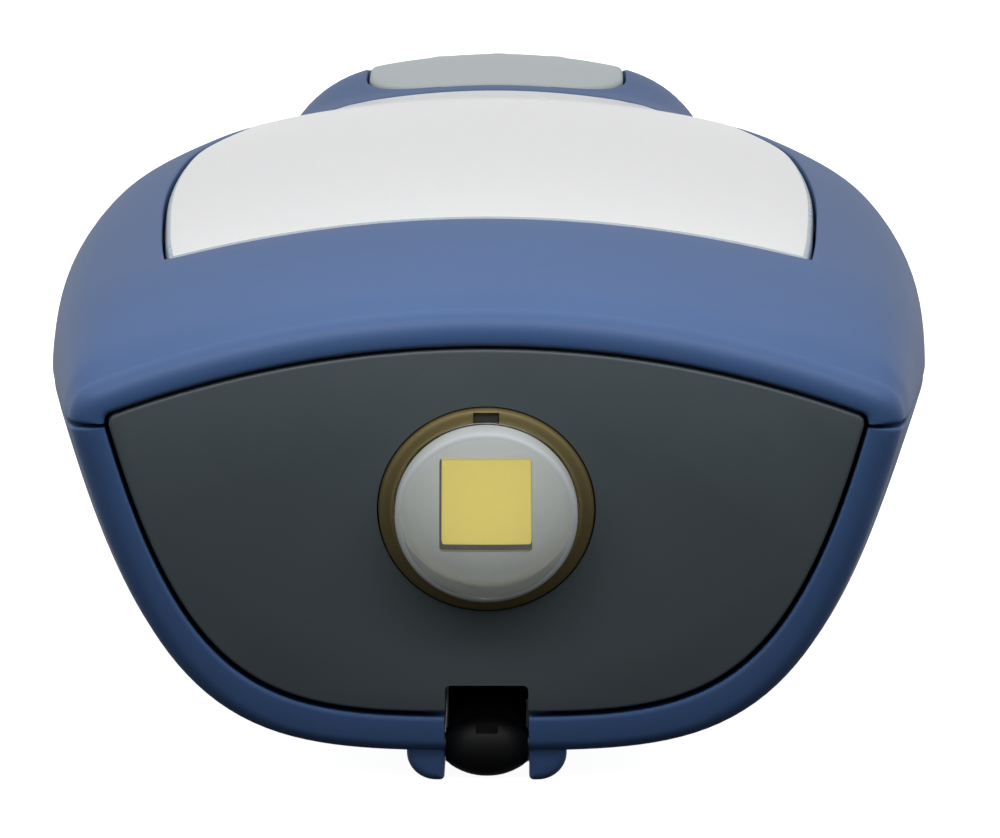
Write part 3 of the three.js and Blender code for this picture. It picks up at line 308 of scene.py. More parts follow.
def stations_of_body():
    edge = [EDGE, EDGE * 0.55, EDGE * 0.2]
    cover_end = COVER_START + COVER_LENGTH
    marks = [NOSE - e for e in edge] + rounded_end(NOSE, 1, 0.5)
    marks += rounded_end(WINDOW_END, -1, CORNER) + [WINDOW_END + e for e in edge]
    marks += [COVER_START - e for e in edge] + rounded_end(COVER_START, 1, COVER_CORNER)
    marks += rounded_end(cover_end, -1, COVER_CORNER) + [cover_end + e for e in edge]
    fixed = sorted(marks)
    filled = [1.0] + fixed + [LENGTH - TAIL_FILLET]
    result = []
    for a, b in zip(filled, filled[1:]):
        parts = max(1, math.ceil((b - a) / 2.2))
        result += [a + (b - a) * i / parts for i in range(parts)]
    return result[1:] + [LENGTH - TAIL_FILLET]


BODY_STATIONS = stations_of_body()


def body_rows():
    """(station, shift, outer inset, inner inset) of each row of points from the front edge to the tail."""
    front = fillet(FRONT_FILLET, 8)
    tail = fillet(TAIL_FILLET, 6)
    rim = [max(0, EDGE - depth) for depth, _ in front]
    rows = [(0, depth, inset, WALL - sunk(EDGE - r, EDGE)) for (depth, inset), r in zip(front, rim)]
    rows += [(s, 0, 0, WALL) for s in BODY_STATIONS if s > FRONT_FILLET]
    rows += [(LENGTH, -depth, inset, WALL - 0.2 * (depth == 0)) for depth, inset in reversed(tail[:-1])]
    return rows


def opening_distance(station, x):
    """How far a point outside the two openings is from the nearer one's edge."""
    best = 9.0
    for start, end in ((NOSE, WINDOW_END), (COVER_START, COVER_START + COVER_LENGTH)):
        beyond = max(start - station, station - end, 0)
        aside = max(abs(x) - opening_side(min(max(station, start), end)), 0)
        best = min(best, math.hypot(beyond, aside))
    return best


INNER_COLUMNS = 9
SIDE_COLUMNS = 20


def top_columns(curve, station):
    """Distances along a top curve: from its middle to the opening's edge, then out to the belt."""
    run = along_curve(curve, [0])[1]
    z_end = belt(station) + GAP / 2
    end = np.interp(-z_end, -curve[:, 1], run)
    edge = np.interp(opening_side(station), curve[:, 0], run)
    inner = np.linspace(0, edge, INNER_COLUMNS + 1)
    rim = edge + np.array([0.2, 0.55, 1]) * EDGE
    side = np.linspace(rim[-1], end - EDGE, SIDE_COLUMNS)[1:]
    last = end - np.array([0.6, 0.25, 0.07, 0]) * EDGE
    return np.concatenate([inner, rim, side, last]), end


def top_grid(rows, outer):
    """Points of the upper shell's outside or inside, mirrored left to right."""
    grid = []
    for station, shift, outer_inset, inner_inset in rows:
        inset = outer_inset if outer else inner_inset
        curve = top_curve(station, inset)
        distances, end = top_columns(curve, station)
        points, _ = along_curve(curve, distances)
        if outer:
            for p in points:
                p[1] -= sunk(opening_distance(station + shift, p[0]), EDGE)
            points[:, 0] -= sunk(end - distances, EDGE)
        half = [(x, along(station + shift) + lean_at(station, z), z) for x, z in points]
        grid.append([(-x, y, z) for x, y, z in reversed(half[1:])] + half)
    return np.array(grid)


rows = body_rows()
outside = top_grid(rows, True)
inside = top_grid(rows, False)
middle = outside.shape[1] // 2
kept = np.ones((outside.shape[0] - 1, outside.shape[1] - 1), bool)
for r in range(len(rows) - 1):
    centre = (rows[r][0] + rows[r][1] + rows[r + 1][0] + rows[r + 1][1]) / 2
    open_here = NOSE < centre < WINDOW_END or COVER_START < centre < COVER_START + COVER_LENGTH
    if open_here:
        kept[r, middle - INNER_COLUMNS:middle + INNER_COLUMNS] = False
upper_shell = closed_sheet("casing_top", outside, inside, kept)


class Wire:
    """One output of a shader node, so that sums on it read as Python."""

    def __init__(self, finish, socket):
        self.finish = finish
        self.socket = socket

    def maths(self, operation, a, b):
        return self.finish.node("ShaderNodeMath", {"operation": operation}, {0: a, 1: b})

    def __add__(self, other):
        return self.maths("ADD", self, other)

    def __sub__(self, other):
        return self.maths("SUBTRACT", self, other)

    def __rsub__(self, other):
        return self.maths("SUBTRACT", other, self)

    def __mul__(self, other):
        return self.maths("MULTIPLY", self, other)

    __radd__ = __add__
    __rmul__ = __mul__


def linear(red, green, blue):
    """A colour given as it is seen on a screen, from 0 to 255, in the shader's own scale."""
    parts = [c / 255 for c in (red, green, blue)]
    return tuple(c / 12.92 if c <= 0.04045 else ((c + 0.055) / 1.055) ** 2.4 for c in parts) + (1.0,)


class Nodes:
    """A tree of shader nodes that is built by calls."""

    def __init__(self, tree, coordinates):
        self.tree = tree
        self.place = self.node("ShaderNodeTexCoord", {}, {}, coordinates)

    def node(self, kind, settings, sockets, output=0):
        made = self.tree.nodes.new(kind)
        for key, value in settings.items():
            if key == "stops":
                stops = made.color_ramp.elements
                for i, (position, shade) in enumerate(value):
                    stop = stops[i] if i < 2 else stops.new(position)
                    stop.position = position
                    stop.color = (shade, shade, shade, 1)
            else:
                setattr(made, key, value)
        for key, value in sockets.items():
            if isinstance(value, Wire):
                self.tree.links.new(value.socket, made.inputs[key])
            else:
                made.inputs[key].default_value = value
        return Wire(self, made.outputs[output])

    def ramp(self, wire, *stops):
        return self.node("ShaderNodeValToRGB", {"stops": stops}, {"Fac": wire})


class Finish(Nodes):
    """A material with one main shader, whose plain values are set by name."""

    def __init__(self, name, **values):
        self.material = bpy.data.materials.new(name)
        self.material.use_nodes = True
        super().__init__(self.material.node_tree, "Object")
        self.shader = self.tree.nodes["Principled BSDF"]
        for key, value in values.items():
            self.shader.inputs[key.replace("_", " ")].default_value = value

    def noise(self, size, detail=2.0, roughness=0.5, place=None):
        """Soft noise from 0 to 1 whose lumps are about a size, in millimetres."""
        return self.node("ShaderNodeTexNoise", {},
                         {"Vector": place or self.place, "Scale": 1 / (size * MM), "Detail": detail,
                          "Roughness": roughness})

    def mix(self, share, a, b):
        """A colour between two colours."""
        return self.node("ShaderNodeMix", {"data_type": "RGBA"}, {0: share, 6: a, 7: b}, output=2)

    def bump(self, height, depth, under=None):
        """Raises the surface by up to a depth in millimetres."""
        sockets = {"Height": height, "Distance": depth * MM, "Strength": 1.0}
        if under is not None:
            sockets["Normal"] = under
        return self.node("ShaderNodeBump", {}, sockets)

    def feed(self, **wires):
        for key, wire in wires.items():
            self.tree.links.new(wire.socket, self.shader.inputs[key.replace("_", " ")])
        return self.material


def moulded(name, colour, paler, roughness, grain, depth, spread=0.06, **values):
    """Moulded plastic: an even eroded grain, slow changes of shade and gloss, and a few rub marks."""
    finish = Finish(name, Roughness=roughness, **values)
    slow = finish.noise(14, 3)
    fine = finish.noise(grain, 2, 0.6)
    stretched = finish.node("ShaderNodeMapping", {}, {"Vector": finish.place, "Scale": (1, 0.12, 1)})
    scuffs = finish.ramp(finish.noise(1.6, 4, 0.7, stretched), (0.62, 0), (0.72, 1))
    worn = finish.ramp(finish.noise(22, 2), (0.5, 0), (0.75, 1))
    marks = scuffs * worn
    shade = finish.mix(slow, colour, paler)
    finish.feed(Base_Color=finish.mix(marks * 0.16 + fine * 0.05, shade, paler),
                Roughness=roughness - spread / 2 + slow * spread + fine * 0.06 + marks * 0.08,
                Normal=finish.bump(fine, depth))
    return finish.material


def dress(piece, material, body="case"):
    """Gives a new piece its finish and the body that it moves with."""
    piece.data.materials.clear()
    piece.data.materials.append(material)
    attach(piece, body)


blue = moulded("blue_nylon", linear(62, 93, 144), linear(70, 102, 151), 0.5, 0.16, 0.012)
dress(upper_shell, blue)
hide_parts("upper_shell")

# ---------------------------------------------------------------------------------------------------------
# Lower shell: the bottom half, moulded in the same blue nylon. Two rails under the head carry the hook's
# pin, a recess takes the folded hook, and round seats take the magnet's pad and the six case screws.
PIVOT_HEIGHT = 2.1
PIVOT_STATION = (FRONT_HEIGHT - PIVOT_HEIGHT) * LEAN + 2.3
PIN_RADIUS = 0.8
HALF_STEM = 2.5
CHANNEL = HALF_STEM + 0.2
RAIL_WIDTH = 2.4
RAIL_ROUND = 1.86
CROOK_RADIUS = 8.5
CROOK_BAR = 4.4
CROOK_STATION = PIVOT_STATION + 16 + CROOK_RADIUS
HOOK_LOW = keel(CROOK_STATION) + 0.2
HOOK_HIGH = HOOK_LOW + 3.4
RECESS_TOP = HOOK_HIGH + GAP
RECESS_RADIUS = CROOK_RADIUS + CROOK_BAR / 2 + 2 * GAP
MAGNET_STATION = in_window(0.5)
CUP_RADIUS = 10.5
PAD_RADIUS = 12.0
LOW_COLUMNS = 44
KEEL_FILLET = 0.47  # share of the front fillet that is left at the keel


def low_row(station, shift, outset, inset, outer):
    """One half row of the lower shell's points, from the belt to the keel."""
    curve = low_curve(station, outset if outer else inset)
    run = along_curve(curve, [0])[1]
    start = np.interp(GAP / 2 - belt(station), -curve[:, 1], run)
    edge = start + np.array([0, 0.07, 0.25, 0.6]) * EDGE
    distances = np.concatenate([edge, np.linspace(start + EDGE, run[-1], LOW_COLUMNS)])
    points, _ = along_curve(curve, distances)
    if outer:
        points[:, 0] -= sunk(distances - start, EDGE)
    return np.array([(x, along(station + shift) + lean_at(station, z), z) for x, z in points])


def low_grid(rows, outer):
    """Points of the lower shell's outside or inside, mirrored; its front edge is tighter at the keel."""
    grid = []
    for station, shift, outset, inset in rows:
        half = low_row(station, shift, outset, inset, outer)
        if station == 0:
            tight = low_row(station, shift * KEEL_FILLET, outset * KEEL_FILLET, inset, outer)
            share = np.clip(np.linspace(-0.3, 1.6, len(half)), 0, 1)[:, None]
            half = half * (1 - share) + tight * share
        half = [tuple(point) for point in half]
        grid.append(half + [(-x, y, z) for x, y, z in reversed(half[:-1])])
    return np.array(grid)


def cut(piece, tool, operation="DIFFERENCE"):
    """Takes a tool away from a piece, or adds it, and removes the tool."""
    modifier = piece.modifiers.new("cut", "BOOLEAN")
    modifier.object = tool
    modifier.operation = operation
    modifier.solver = "EXACT"
    graph = bpy.context.evaluated_depsgraph_get()
    mesh = bpy.data.meshes.new_from_object(piece.evaluated_get(graph))
    piece.modifiers.clear()
    piece.data = mesh
    bpy.data.objects.remove(tool)


def stacked(name, rings, smooth=35):
    """A closed solid through rings of points, each ring with as many points as the last."""
    count = len(rings[0])
    faces = [tuple(range(count)), tuple(range((len(rings) - 1) * count, len(rings) * count))]
    for r in range(len(rings) - 1):
        for i in range(count):
            j = (i + 1) % count
            faces.append((r * count + i, r * count + j, (r + 1) * count + j, (r + 1) * count + i))
    piece = make(name, [p for ring in rings for p in ring], faces, smooth)
    face_out(piece, smooth)
    return piece


def arc(x, y, radius, start, end, steps):
    turns = np.radians(np.linspace(start, end, steps + 1))
    return [(x + radius * math.cos(t), y + radius * math.sin(t)) for t in turns]


def drawn_in(outline, distance):
    """A closed outline, counterclockwise, moved inwards by a distance."""
    p = np.array(outline, float)
    before = p - np.roll(p, 1, axis=0)
    after = np.roll(p, -1, axis=0) - p
    normals = []
    for d in (before, after):
        d = d / np.maximum(np.hypot(d[:, 0], d[:, 1]), 1e-9)[:, None]
        normals.append(np.stack([-d[:, 1], d[:, 0]], 1))
    mean = normals[0] + normals[1]
    mean /= np.maximum(np.sum(mean * mean, axis=1) / 2, 0.5)[:, None]
    return p + mean * distance


def prism(name, outline, low, high, place, top=0.0, bottom=0.0, smooth=35):
    """A prism over an outline, with its top or bottom edge rounded; place maps (x, y, z) into the lamp."""
    levels = [(low + depth, inset) for depth, inset in fillet(bottom, 5)] if bottom else [(low, 0)]
    if top:
        levels += [(high - depth, inset) for depth, inset in reversed(fillet(top, 5))]
    else:
        levels.append((high, 0))
    rings = [[place(x, y, z) for x, y in drawn_in(outline, inset)] for z, inset in levels]
    return stacked(name, rings, smooth)


def from_above(x, station, z):
    return (x, along(station), z)


def disc(radius, steps=72):
    return arc(0, 0, radius, 0, 360, steps)[:-1]


def upright(x0, s0):
    """Places a shape drawn round the origin at a point of the plan."""
    return lambda x, s, z: (x0 + x, along(s0 + s), z)


def recess_outline(spare):
    """The folded hook's outline in the lamp's underside: a keyhole with a finger scoop at its far side."""
    radius = RECESS_RADIUS + spare
    half = CHANNEL + spare
    meet = math.degrees(math.asin(half / radius))
    scoop = 4 + spare
    far = RECESS_RADIUS - 1
    rise = (radius ** 2 - scoop ** 2 + far ** 2) / (2 * far)
    turn = math.degrees(math.asin(rise / radius))
    lift = math.degrees(math.asin((rise - far) / scoop))
    points = [(half, -5.0)]
    points += arc(0, CROOK_STATION, radius, meet - 90, turn, 48)
    points += arc(0, CROOK_STATION + far, scoop, lift, 180 - lift, 24)[1:-1]
    points += arc(0, CROOK_STATION, radius, 180 - turn, 270 - meet, 48)
    points.append((-half, -5.0))
    return points


def rail(side):
    """One rail: square on the hook's side and rounded outside."""
    outer = CHANNEL + RAIL_WIDTH
    top = keel(0) + WALL - 0.3
    foot = FRONT_HEIGHT * LEAN

    def section(inset):
        corner = max(0.3, inset + 0.02)
        inner_corner = arc(CHANNEL + corner, corner, corner - inset, 180, 270, 5)
        edge = arc(outer - RAIL_ROUND, RAIL_ROUND, RAIL_ROUND - inset, -90, 0, 14)
        return inner_corner + edge + [(outer - inset, top), (CHANNEL + inset, top)]

    def ring(shift, inset, leaning):
        points = section(inset)
        return [(side * x, along(shift + (foot - z * LEAN if leaning else 0)), z) for x, z in points]

    rings = [ring(0.42 + depth, inset, True) for depth, inset in fillet(0.5, 5)]
    rings += [ring(foot + s, 0, False) for s in (3.0, 5.2)]
    rings += [[(side * x, along(foot + 5.2 + s), max(z, z0)) for x, z in section(0)]
              for s, z0 in ((1.6, 0.25), (3.2, 0.85), (4.8, 1.6), (6.2, 2.6))]
    return stacked("rail", rings)


WELL_RADIUS = 2.5
WELL_WALL = 1.0
CELL_RADIUS = 9.1
SOCKET_HALF = 4.5


def screw_places():
    front_x = RECESS_RADIUS + WELL_RADIUS + WELL_WALL
    neck_x = CELL_RADIUS + 1.9
    tail_x = SOCKET_HALF + GAP + WELL_RADIUS + 0.8
    for place, x, station in (("front", front_x, NOSE - 5), ("neck", neck_x, WINDOW_END + 3),
                              ("tail", tail_x, CELL_END + 5)):
        yield f"case_screw_{place}_left", -x, station
        yield f"case_screw_{place}_right", x, station


lower_shell = closed_sheet("casing_bottom", low_grid(rows, True), low_grid(rows, False),
                           np.ones((len(rows) - 1, 2 * (LOW_COLUMNS + 3)), bool))
foot_line = FRONT_HEIGHT * LEAN
cradle = prism("cradle", recess_outline(1.2), 3.0, RECESS_TOP + 1.2, from_above)
keep_start = foot_line + 1.0
keep = prism("keep", [(-40, keep_start), (40, keep_start), (40, 60), (-40, 60)], 0, 12, from_above)
cut(cradle, keep, "INTERSECT")
cut(lower_shell, cradle, "UNION")
boss = prism("boss", disc(PAD_RADIUS + GAP + 1.2), 1.6, 7.5, upright(0, MAGNET_STATION))
cut(lower_shell, boss, "UNION")
cut(lower_shell, prism("recess", recess_outline(0), -3, RECESS_TOP, from_above, top=0.6))
HUB_ROOM_TOP = RECESS_TOP + 0.5
hub_room = [(-CHANNEL, -5), (CHANNEL, -5), (CHANNEL, PIVOT_STATION + 5), (-CHANNEL, PIVOT_STATION + 5)]
cut(lower_shell, prism("hub_room", hub_room, -3, HUB_ROOM_TOP, from_above, top=0.3))
for side in (-1, 1):
    cut(lower_shell, rail(side), "UNION")
pin_room = [(along(PIVOT_STATION + s), PIVOT_HEIGHT + z) for s, z in disc(PIN_RADIUS + 0.12, 32)]
hole_reach = CHANNEL + RAIL_WIDTH + 0.4
cut(lower_shell, stacked("hole", [[(x, y, z) for y, z in pin_room] for x in (-hole_reach, hole_reach)]))
cut(lower_shell, prism("pad_seat", disc(PAD_RADIUS + 0.2), -3, 1.5, upright(0, MAGNET_STATION), top=0.2))
cut(lower_shell, prism("cup_seat", disc(CUP_RADIUS + GAP), 1, 6.3, upright(0, MAGNET_STATION)))
for name, x, station in screw_places():
    cut(lower_shell, prism("well", disc(WELL_RADIUS, 40), -5, belt(station) - 3, upright(x, station)))
smoothed(lower_shell, 32)
dress(lower_shell, blue)
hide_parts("lower_shell")

# ---------------------------------------------------------------------------------------------------------
# Case screws: six black-oxide steel socket screws that join the shells from below. Each has a low round
# head with a hexagon socket, deep in its well, and a shank with shallow ridges.
SCREW_HEAD = 2.2


def looped(name, rings, smooth=35):
    """A ring-shaped solid through closed rings of points, the last joined to the first."""
    count = len(rings[0])
    faces = []
    for k in range(len(rings)):
        n = (k + 1) % len(rings)
        for i in range(count):
            j = (i + 1) % count
            faces.append((k * count + i, k * count + j, n * count + j, n * count + i))
    piece = make(name, [p for ring in rings for p in ring], faces, smooth)
    face_out(piece, smooth)
    return piece


def turned(name, profile, place, steps=96, smooth=35):
    """A solid turned from (radius, height) points; it starts and ends on its axis or closes on itself."""
    turns = np.linspace(0, 2 * math.pi, steps, endpoint=False)
    rings = [[place(r * math.cos(a), r * math.sin(a), h) for a in turns] for r, h in profile]
    if profile[0][0] > 0.001:
        return looped(name, rings, smooth)
    verts = [rings[0][0]] + [p for ring in rings[1:-1] for p in ring] + [rings[-1][0]]
    faces = []
    last = len(verts) - 1
    inner = len(rings) - 2
    for i in range(steps):
        j = (i + 1) % steps
        faces.append((0, 1 + j, 1 + i))
        faces.append((last, 1 + (inner - 1) * steps + i, 1 + (inner - 1) * steps + j))
        for k in range(inner - 1):
            a = 1 + k * steps
            faces.append((a + i, a + j, a + steps + j, a + steps + i))
    piece = make(name, verts, faces, smooth)
    face_out(piece, smooth)
    return piece


def metal(name, colour, roughness, grain=0.3, depth=0.002, spread=0.12, coat=0.0):
    """Bare or plated metal: small changes of gloss, fine scratches and slightly darker patches."""
    finish = Finish(name, Metallic=1.0, Roughness=roughness, Coat_Weight=coat, Coat_Roughness=0.15)
    slow = finish.noise(5, 3)
    drawn = finish.node("ShaderNodeMapping", {}, {"Vector": finish.place, "Scale": (0.08, 1, 1)})
    scratch = finish.noise(grain, 3, 0.7, drawn)
    darker = tuple(c * 0.72 for c in colour[:3]) + (1.0,)
    finish.feed(Base_Color=finish.mix(slow * 0.6 + scratch * 0.3, colour, darker),
                Roughness=roughness - spread / 2 + slow * spread + scratch * 0.08,
                Normal=finish.bump(scratch, depth))
    return finish.material


black_oxide = metal("black_oxide", linear(34, 34, 36), 0.42)
for name, x, station in screw_places():
    seat = belt(station) - 3 - GAP
    low = seat - 1.6
    profile = [(0, low + 0.04), (1.5, low + 0.02), (SCREW_HEAD - 0.35, low + 0.06),
               (SCREW_HEAD - 0.1, low + 0.16), (SCREW_HEAD, low + 0.42), (SCREW_HEAD, seat), (1.15, seat)]
    for step in range(9):
        profile += [(1.15, seat + 0.4 + step), (1.0, seat + 0.8 + step)]
    screw = turned(name.replace("case_screw", "socket_screw"), profile + [(0.6, seat + 9), (0, seat + 9)],
                   upright(x, station), 40)
    hexagon = arc(0, 0, 1.08, 0, 360, 6)[:-1]
    cut(screw, prism("drive", hexagon, low - 1, low + 0.9, upright(x, station)))
    smoothed(screw, 35)
    dress(screw, black_oxide)
    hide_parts(name)

# ---------------------------------------------------------------------------------------------------------
# Light window: one opal acrylic moulding over the rows of light-emitting diodes, flush with the head. Its
# edge is a rounded clear bead, and a rubber seal under the edge beds it in the upper shell.
WINDOW_GAP = 0.2
WINDOW_THICKNESS = 1.2
BEAD = 0.5


def rounded_side(station, start, end, corner, straight):
    """Half the width of an outline that narrows over rounded corners at both ends."""
    side = straight(station)
    for distance, radius in ((station - start, corner[0]), (end - station, corner[1])):
        if distance < radius:
            side -= radius - math.sqrt(max(0, radius ** 2 - (radius - max(0, distance)) ** 2))
    return side


def distance_in(station, x, start, end, corner, straight):
    """How far a point inside such an outline is from its edge."""
    aside = straight(station) - abs(x)
    best = aside
    for distance, radius in ((station - start, corner[0]), (end - station, corner[1])):
        if aside < radius and distance < radius:
            best = min(best, radius - math.hypot(radius - aside, radius - distance))
        else:
            best = min(best, distance)
    return max(0, best)


def skin(station, x):
    """Height of the body's top surface."""
    curve = top_curve(station, 0)
    return float(np.interp(abs(x), curve[:, 0], curve[:, 1]))


def panel(name, start, end, corner, straight, bead, thickness, proud=0.0):
    """A thin panel that follows the body's top surface inside an outline, with its edge rounded."""
    edge = np.array([0, 0.06, 0.2, 0.42, 0.7, 1]) * bead
    marks = sorted({*[start + e for e in edge], *rounded_end(start, 1, corner[0]),
                    *rounded_end(end, -1, corner[1]), *[end - e for e in edge]})
    marks = [m for i, m in enumerate(marks) if i == 0 or m - marks[i - 1] > 0.004]
    stations = []
    for a, b in zip(marks, marks[1:]):
        parts = max(1, math.ceil((b - a) / 2.0))
        stations += [a + (b - a) * i / parts for i in range(parts)]
    stations.append(marks[-1])
    outer, inner = [], []
    for s in stations:
        side = rounded_side(s, start, end, corner, straight)
        curve = top_curve(s, 0)
        out = np.concatenate([np.linspace(0, side - bead, 16), side - edge[::-1][1:]])
        xs = np.concatenate([-out[:0:-1], out])
        row, low = [], []
        for x in xs:
            z = float(np.interp(abs(x), curve[:, 0], curve[:, 1]))
            near = distance_in(s, x, start, end, corner, straight)
            y = along(s) + lean_at(s, z)
            row.append((x, y, z + proud - float(sunk(near, bead))))
            low.append((x, y, z - thickness))
        outer.append(row)
        inner.append(low)
    grid = np.array(outer)
    return closed_sheet(name, grid, np.array(inner), np.ones((len(stations) - 1, len(xs) - 1), bool), 50)


def window_straight(station):
    return half_width(station) - WINDOW_MARGIN - WINDOW_GAP


window = panel("opal_window", NOSE + WINDOW_GAP, WINDOW_END - WINDOW_GAP, (0.45, CORNER), window_straight,
               BEAD, WINDOW_THICKNESS)
opal = Finish("opal_acrylic", Roughness=0.28, IOR=1.49, Coat_Weight=0.2, Coat_Roughness=0.12,
              Subsurface_Weight=0.35, Subsurface_Scale=0.0012)
cloud = opal.noise(30, 1)
opal.feed(Base_Color=opal.mix(cloud, linear(245, 248, 248), linear(249, 251, 251)),
          Roughness=0.26 + cloud * 0.05,
          Normal=opal.bump(opal.noise(0.4, 2), 0.0006))
dress(window, opal.material)
clear_edge = moulded("clear_edge", linear(168, 182, 194), linear(186, 198, 208), 0.25, 0.3, 0.002)
window.data.materials.append(clear_edge)
for face in window.data.polygons:
    x, y, z = face.center / MM
    station = y - along(0)
    station -= lean_at(station, z)
    near = distance_in(station, x, NOSE + WINDOW_GAP, WINDOW_END - WINDOW_GAP, (0.45, CORNER),
                       window_straight)
    if near < 0.75 * BEAD:
        face.material_index = 1
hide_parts("light_window")

# ---------------------------------------------------------------------------------------------------------
# End plate: a flat grey nylon moulding that closes the head's leaning end. It is let in just below the
# rim, with a hole for the spot lamp and a notch over the hook's hub.
PLATE_RECESS = 0.2
PLATE_GAP = 0.28
SPOT_RADIUS = 6.8
SPOT_DROP = 6.5 + SPOT_RADIUS
TILT = math.radians(12)


def on_face(x, up, out):
    """A point on the end face: across it, up it from the front edge, and out of it."""
    return (x, along(0) - up * math.sin(TILT) - out * math.cos(TILT),
            FRONT_HEIGHT + up * math.cos(TILT) - out * math.sin(TILT))


def on_spot(x, up, out):
    return on_face(x, up - SPOT_DROP, out)


def thinned(points, gap):
    """The same outline with points about a gap apart and its corners kept."""
    kept_points = [points[0]]
    for p in points[1:]:
        if math.hypot(p[0] - kept_points[-1][0], p[1] - kept_points[-1][1]) >= gap:
            kept_points.append(p)
    return kept_points


def section_outline(station, inset, drop, stretch):
    """The body's whole outline at a station, counterclockwise from its lowest point."""
    half = np.concatenate([top_curve(station, inset), low_curve(station, inset)[1:]])
    half = thinned([(x, (z - drop) * stretch) for x, z in half[::-1]], 0.35)
    mirrored = [(-x, z) for x, z in reversed(half)]
    return half + [p for p in mirrored if p[0] < -0.05]


plate = prism("end_cap", section_outline(0, WALL + PLATE_GAP, FRONT_HEIGHT, 1 / math.cos(TILT)),
              -PLATE_RECESS - 2, -PLATE_RECESS, on_face, top=0.22)
cut(plate, prism("spot_room", disc(SPOT_RADIUS + 0.1, 128), -4, 2, on_spot))
notch_half = CHANNEL - 0.05
notch_top = (RECESS_TOP + 0.3 - FRONT_HEIGHT) / math.cos(TILT)
notch = [(-notch_half, -40), (notch_half, -40)] + arc(notch_half - 0.35, notch_top - 0.35, 0.35, 0, 90, 6)
notch += arc(0.35 - notch_half, notch_top - 0.35, 0.35, 90, 180, 6)
cut(plate, prism("notch", notch, -6, 3, on_face))
smoothed(plate, 25)
grey = moulded("grey_nylon", linear(83, 94, 98), linear(91, 102, 106), 0.46, 0.14, 0.008)
dress(plate, grey)
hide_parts("end_plate")

# ---------------------------------------------------------------------------------------------------------
# Spot ring: turned aluminium, bronze anodised, with a lip deep inside that the reflector and the lens rest
# on. A small key notch is cut into its top edge, and a dark tab laid in the notch's floor is painted shade.
RING_WALL = 1.05
LENS_RADIUS = SPOT_RADIUS - RING_WALL
ring_inside = [(0.06, -1.75), (0.06, -0.2), (0.14, 0.02), (0.3, 0.13)]
ring_outside = [(-0.34, 0.14), (-0.12, 0.04), (0, -0.2), (0, -3.2)]
ring_lip = [(-0.6, -3.2), (-0.6, -1.75)]
ring_profile = [(LENS_RADIUS + out, height) for out, height in ring_inside]
ring_profile += [(SPOT_RADIUS + out, height) for out, height in ring_outside]
ring_profile += [(LENS_RADIUS + out, height) for out, height in ring_lip]
ring = turned("bronze_ring", ring_profile, on_spot, 144, 28)
KEY_HALF = 0.82
KEY_LOW = SPOT_RADIUS - 0.95
KEY_HIGH = SPOT_RADIUS - 0.22
key = [(-KEY_HALF, KEY_LOW), (KEY_HALF, KEY_LOW), (KEY_HALF, KEY_HIGH), (-KEY_HALF, KEY_HIGH)]
cut(ring, prism("key", key, -0.3, 1, on_spot))
smoothed(ring, 28)
bronze = metal("bronze_anodised", linear(178, 162, 114), 0.52, 0.25, 0.003)
dress(ring, bronze)
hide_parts("spot_ring")
# A dark finish used only for painted shade: the tab in the ring's key notch and the sheet under the diode.
painted_dark = moulded("painted_shade_slate", linear(44, 43, 38), linear(56, 55, 50), 0.5, 0.1, 0.002)
# Dark tab in the key notch's floor: painted shade.
tab = prism("ring_key_painted_shade", [(x * 0.96, y * 0.998) for x, y in key], -0.32, -0.1, on_spot, top=0.05)
dress(tab, painted_dark)

# ---------------------------------------------------------------------------------------------------------
# Spot lens: a clear acrylic moulding pushed into the ring from the front. Its frosted side stands straight
# out of the ring and ends in a bevel and a shallow dome.
LENS_WALL = 1.15
LENS_BEVEL = 0.38
LENS_RISE = 2.3
dome_foot = LENS_RADIUS - LENS_BEVEL
dome_low = LENS_WALL + LENS_BEVEL
dome = (dome_foot ** 2 + (LENS_RISE - dome_low) ** 2) / (2 * (LENS_RISE - dome_low))
lens_profile = [(0, -1.5), (LENS_RADIUS - 0.1, -1.5), (LENS_RADIUS, -1.4), (LENS_RADIUS, 0.0),
                (LENS_RADIUS, LENS_WALL),
                (LENS_RADIUS - 0.06, LENS_WALL + 0.18), (LENS_RADIUS - 0.19, LENS_WALL + 0.32),
                (dome_foot, dome_low)]
for r in np.linspace(dome_foot, 0, 20)[1:]:
    lens_profile.append((r, LENS_RISE - dome + math.sqrt(dome ** 2 - r ** 2)))
lens = turned("spot_dome", lens_profile, on_spot, 96, 40)
clear = Finish("clear_acrylic", Roughness=0.02, IOR=1.49, Transmission_Weight=1.0, Coat_Weight=0.3,
               Coat_Roughness=0.03)
smears = clear.noise(4, 4, 0.65)
clear.feed(Base_Color=clear.mix(smears, linear(244, 247, 248), linear(236, 240, 241)),
           Roughness=0.01 + smears * 0.05,
           Normal=clear.bump(clear.noise(1.2, 2), 0.001))
dress(lens, clear.material)
frosted = moulded("frosted_rim", linear(214, 220, 222), linear(200, 206, 208), 0.35, 0.1, 0.004)
lens.data.materials.append(frosted)
centre = Vector(on_spot(0, 0, 0)) * MM
outward = Vector((0, -math.cos(TILT), -math.sin(TILT)))
for face in lens.data.polygons:
    off = face.center - centre
    height = off.dot(outward)
    reach = (off - height * outward).length
    if height > 0 and reach > (dome_foot - 0.02) * MM:
        face.material_index = 1
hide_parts("spot_lens")

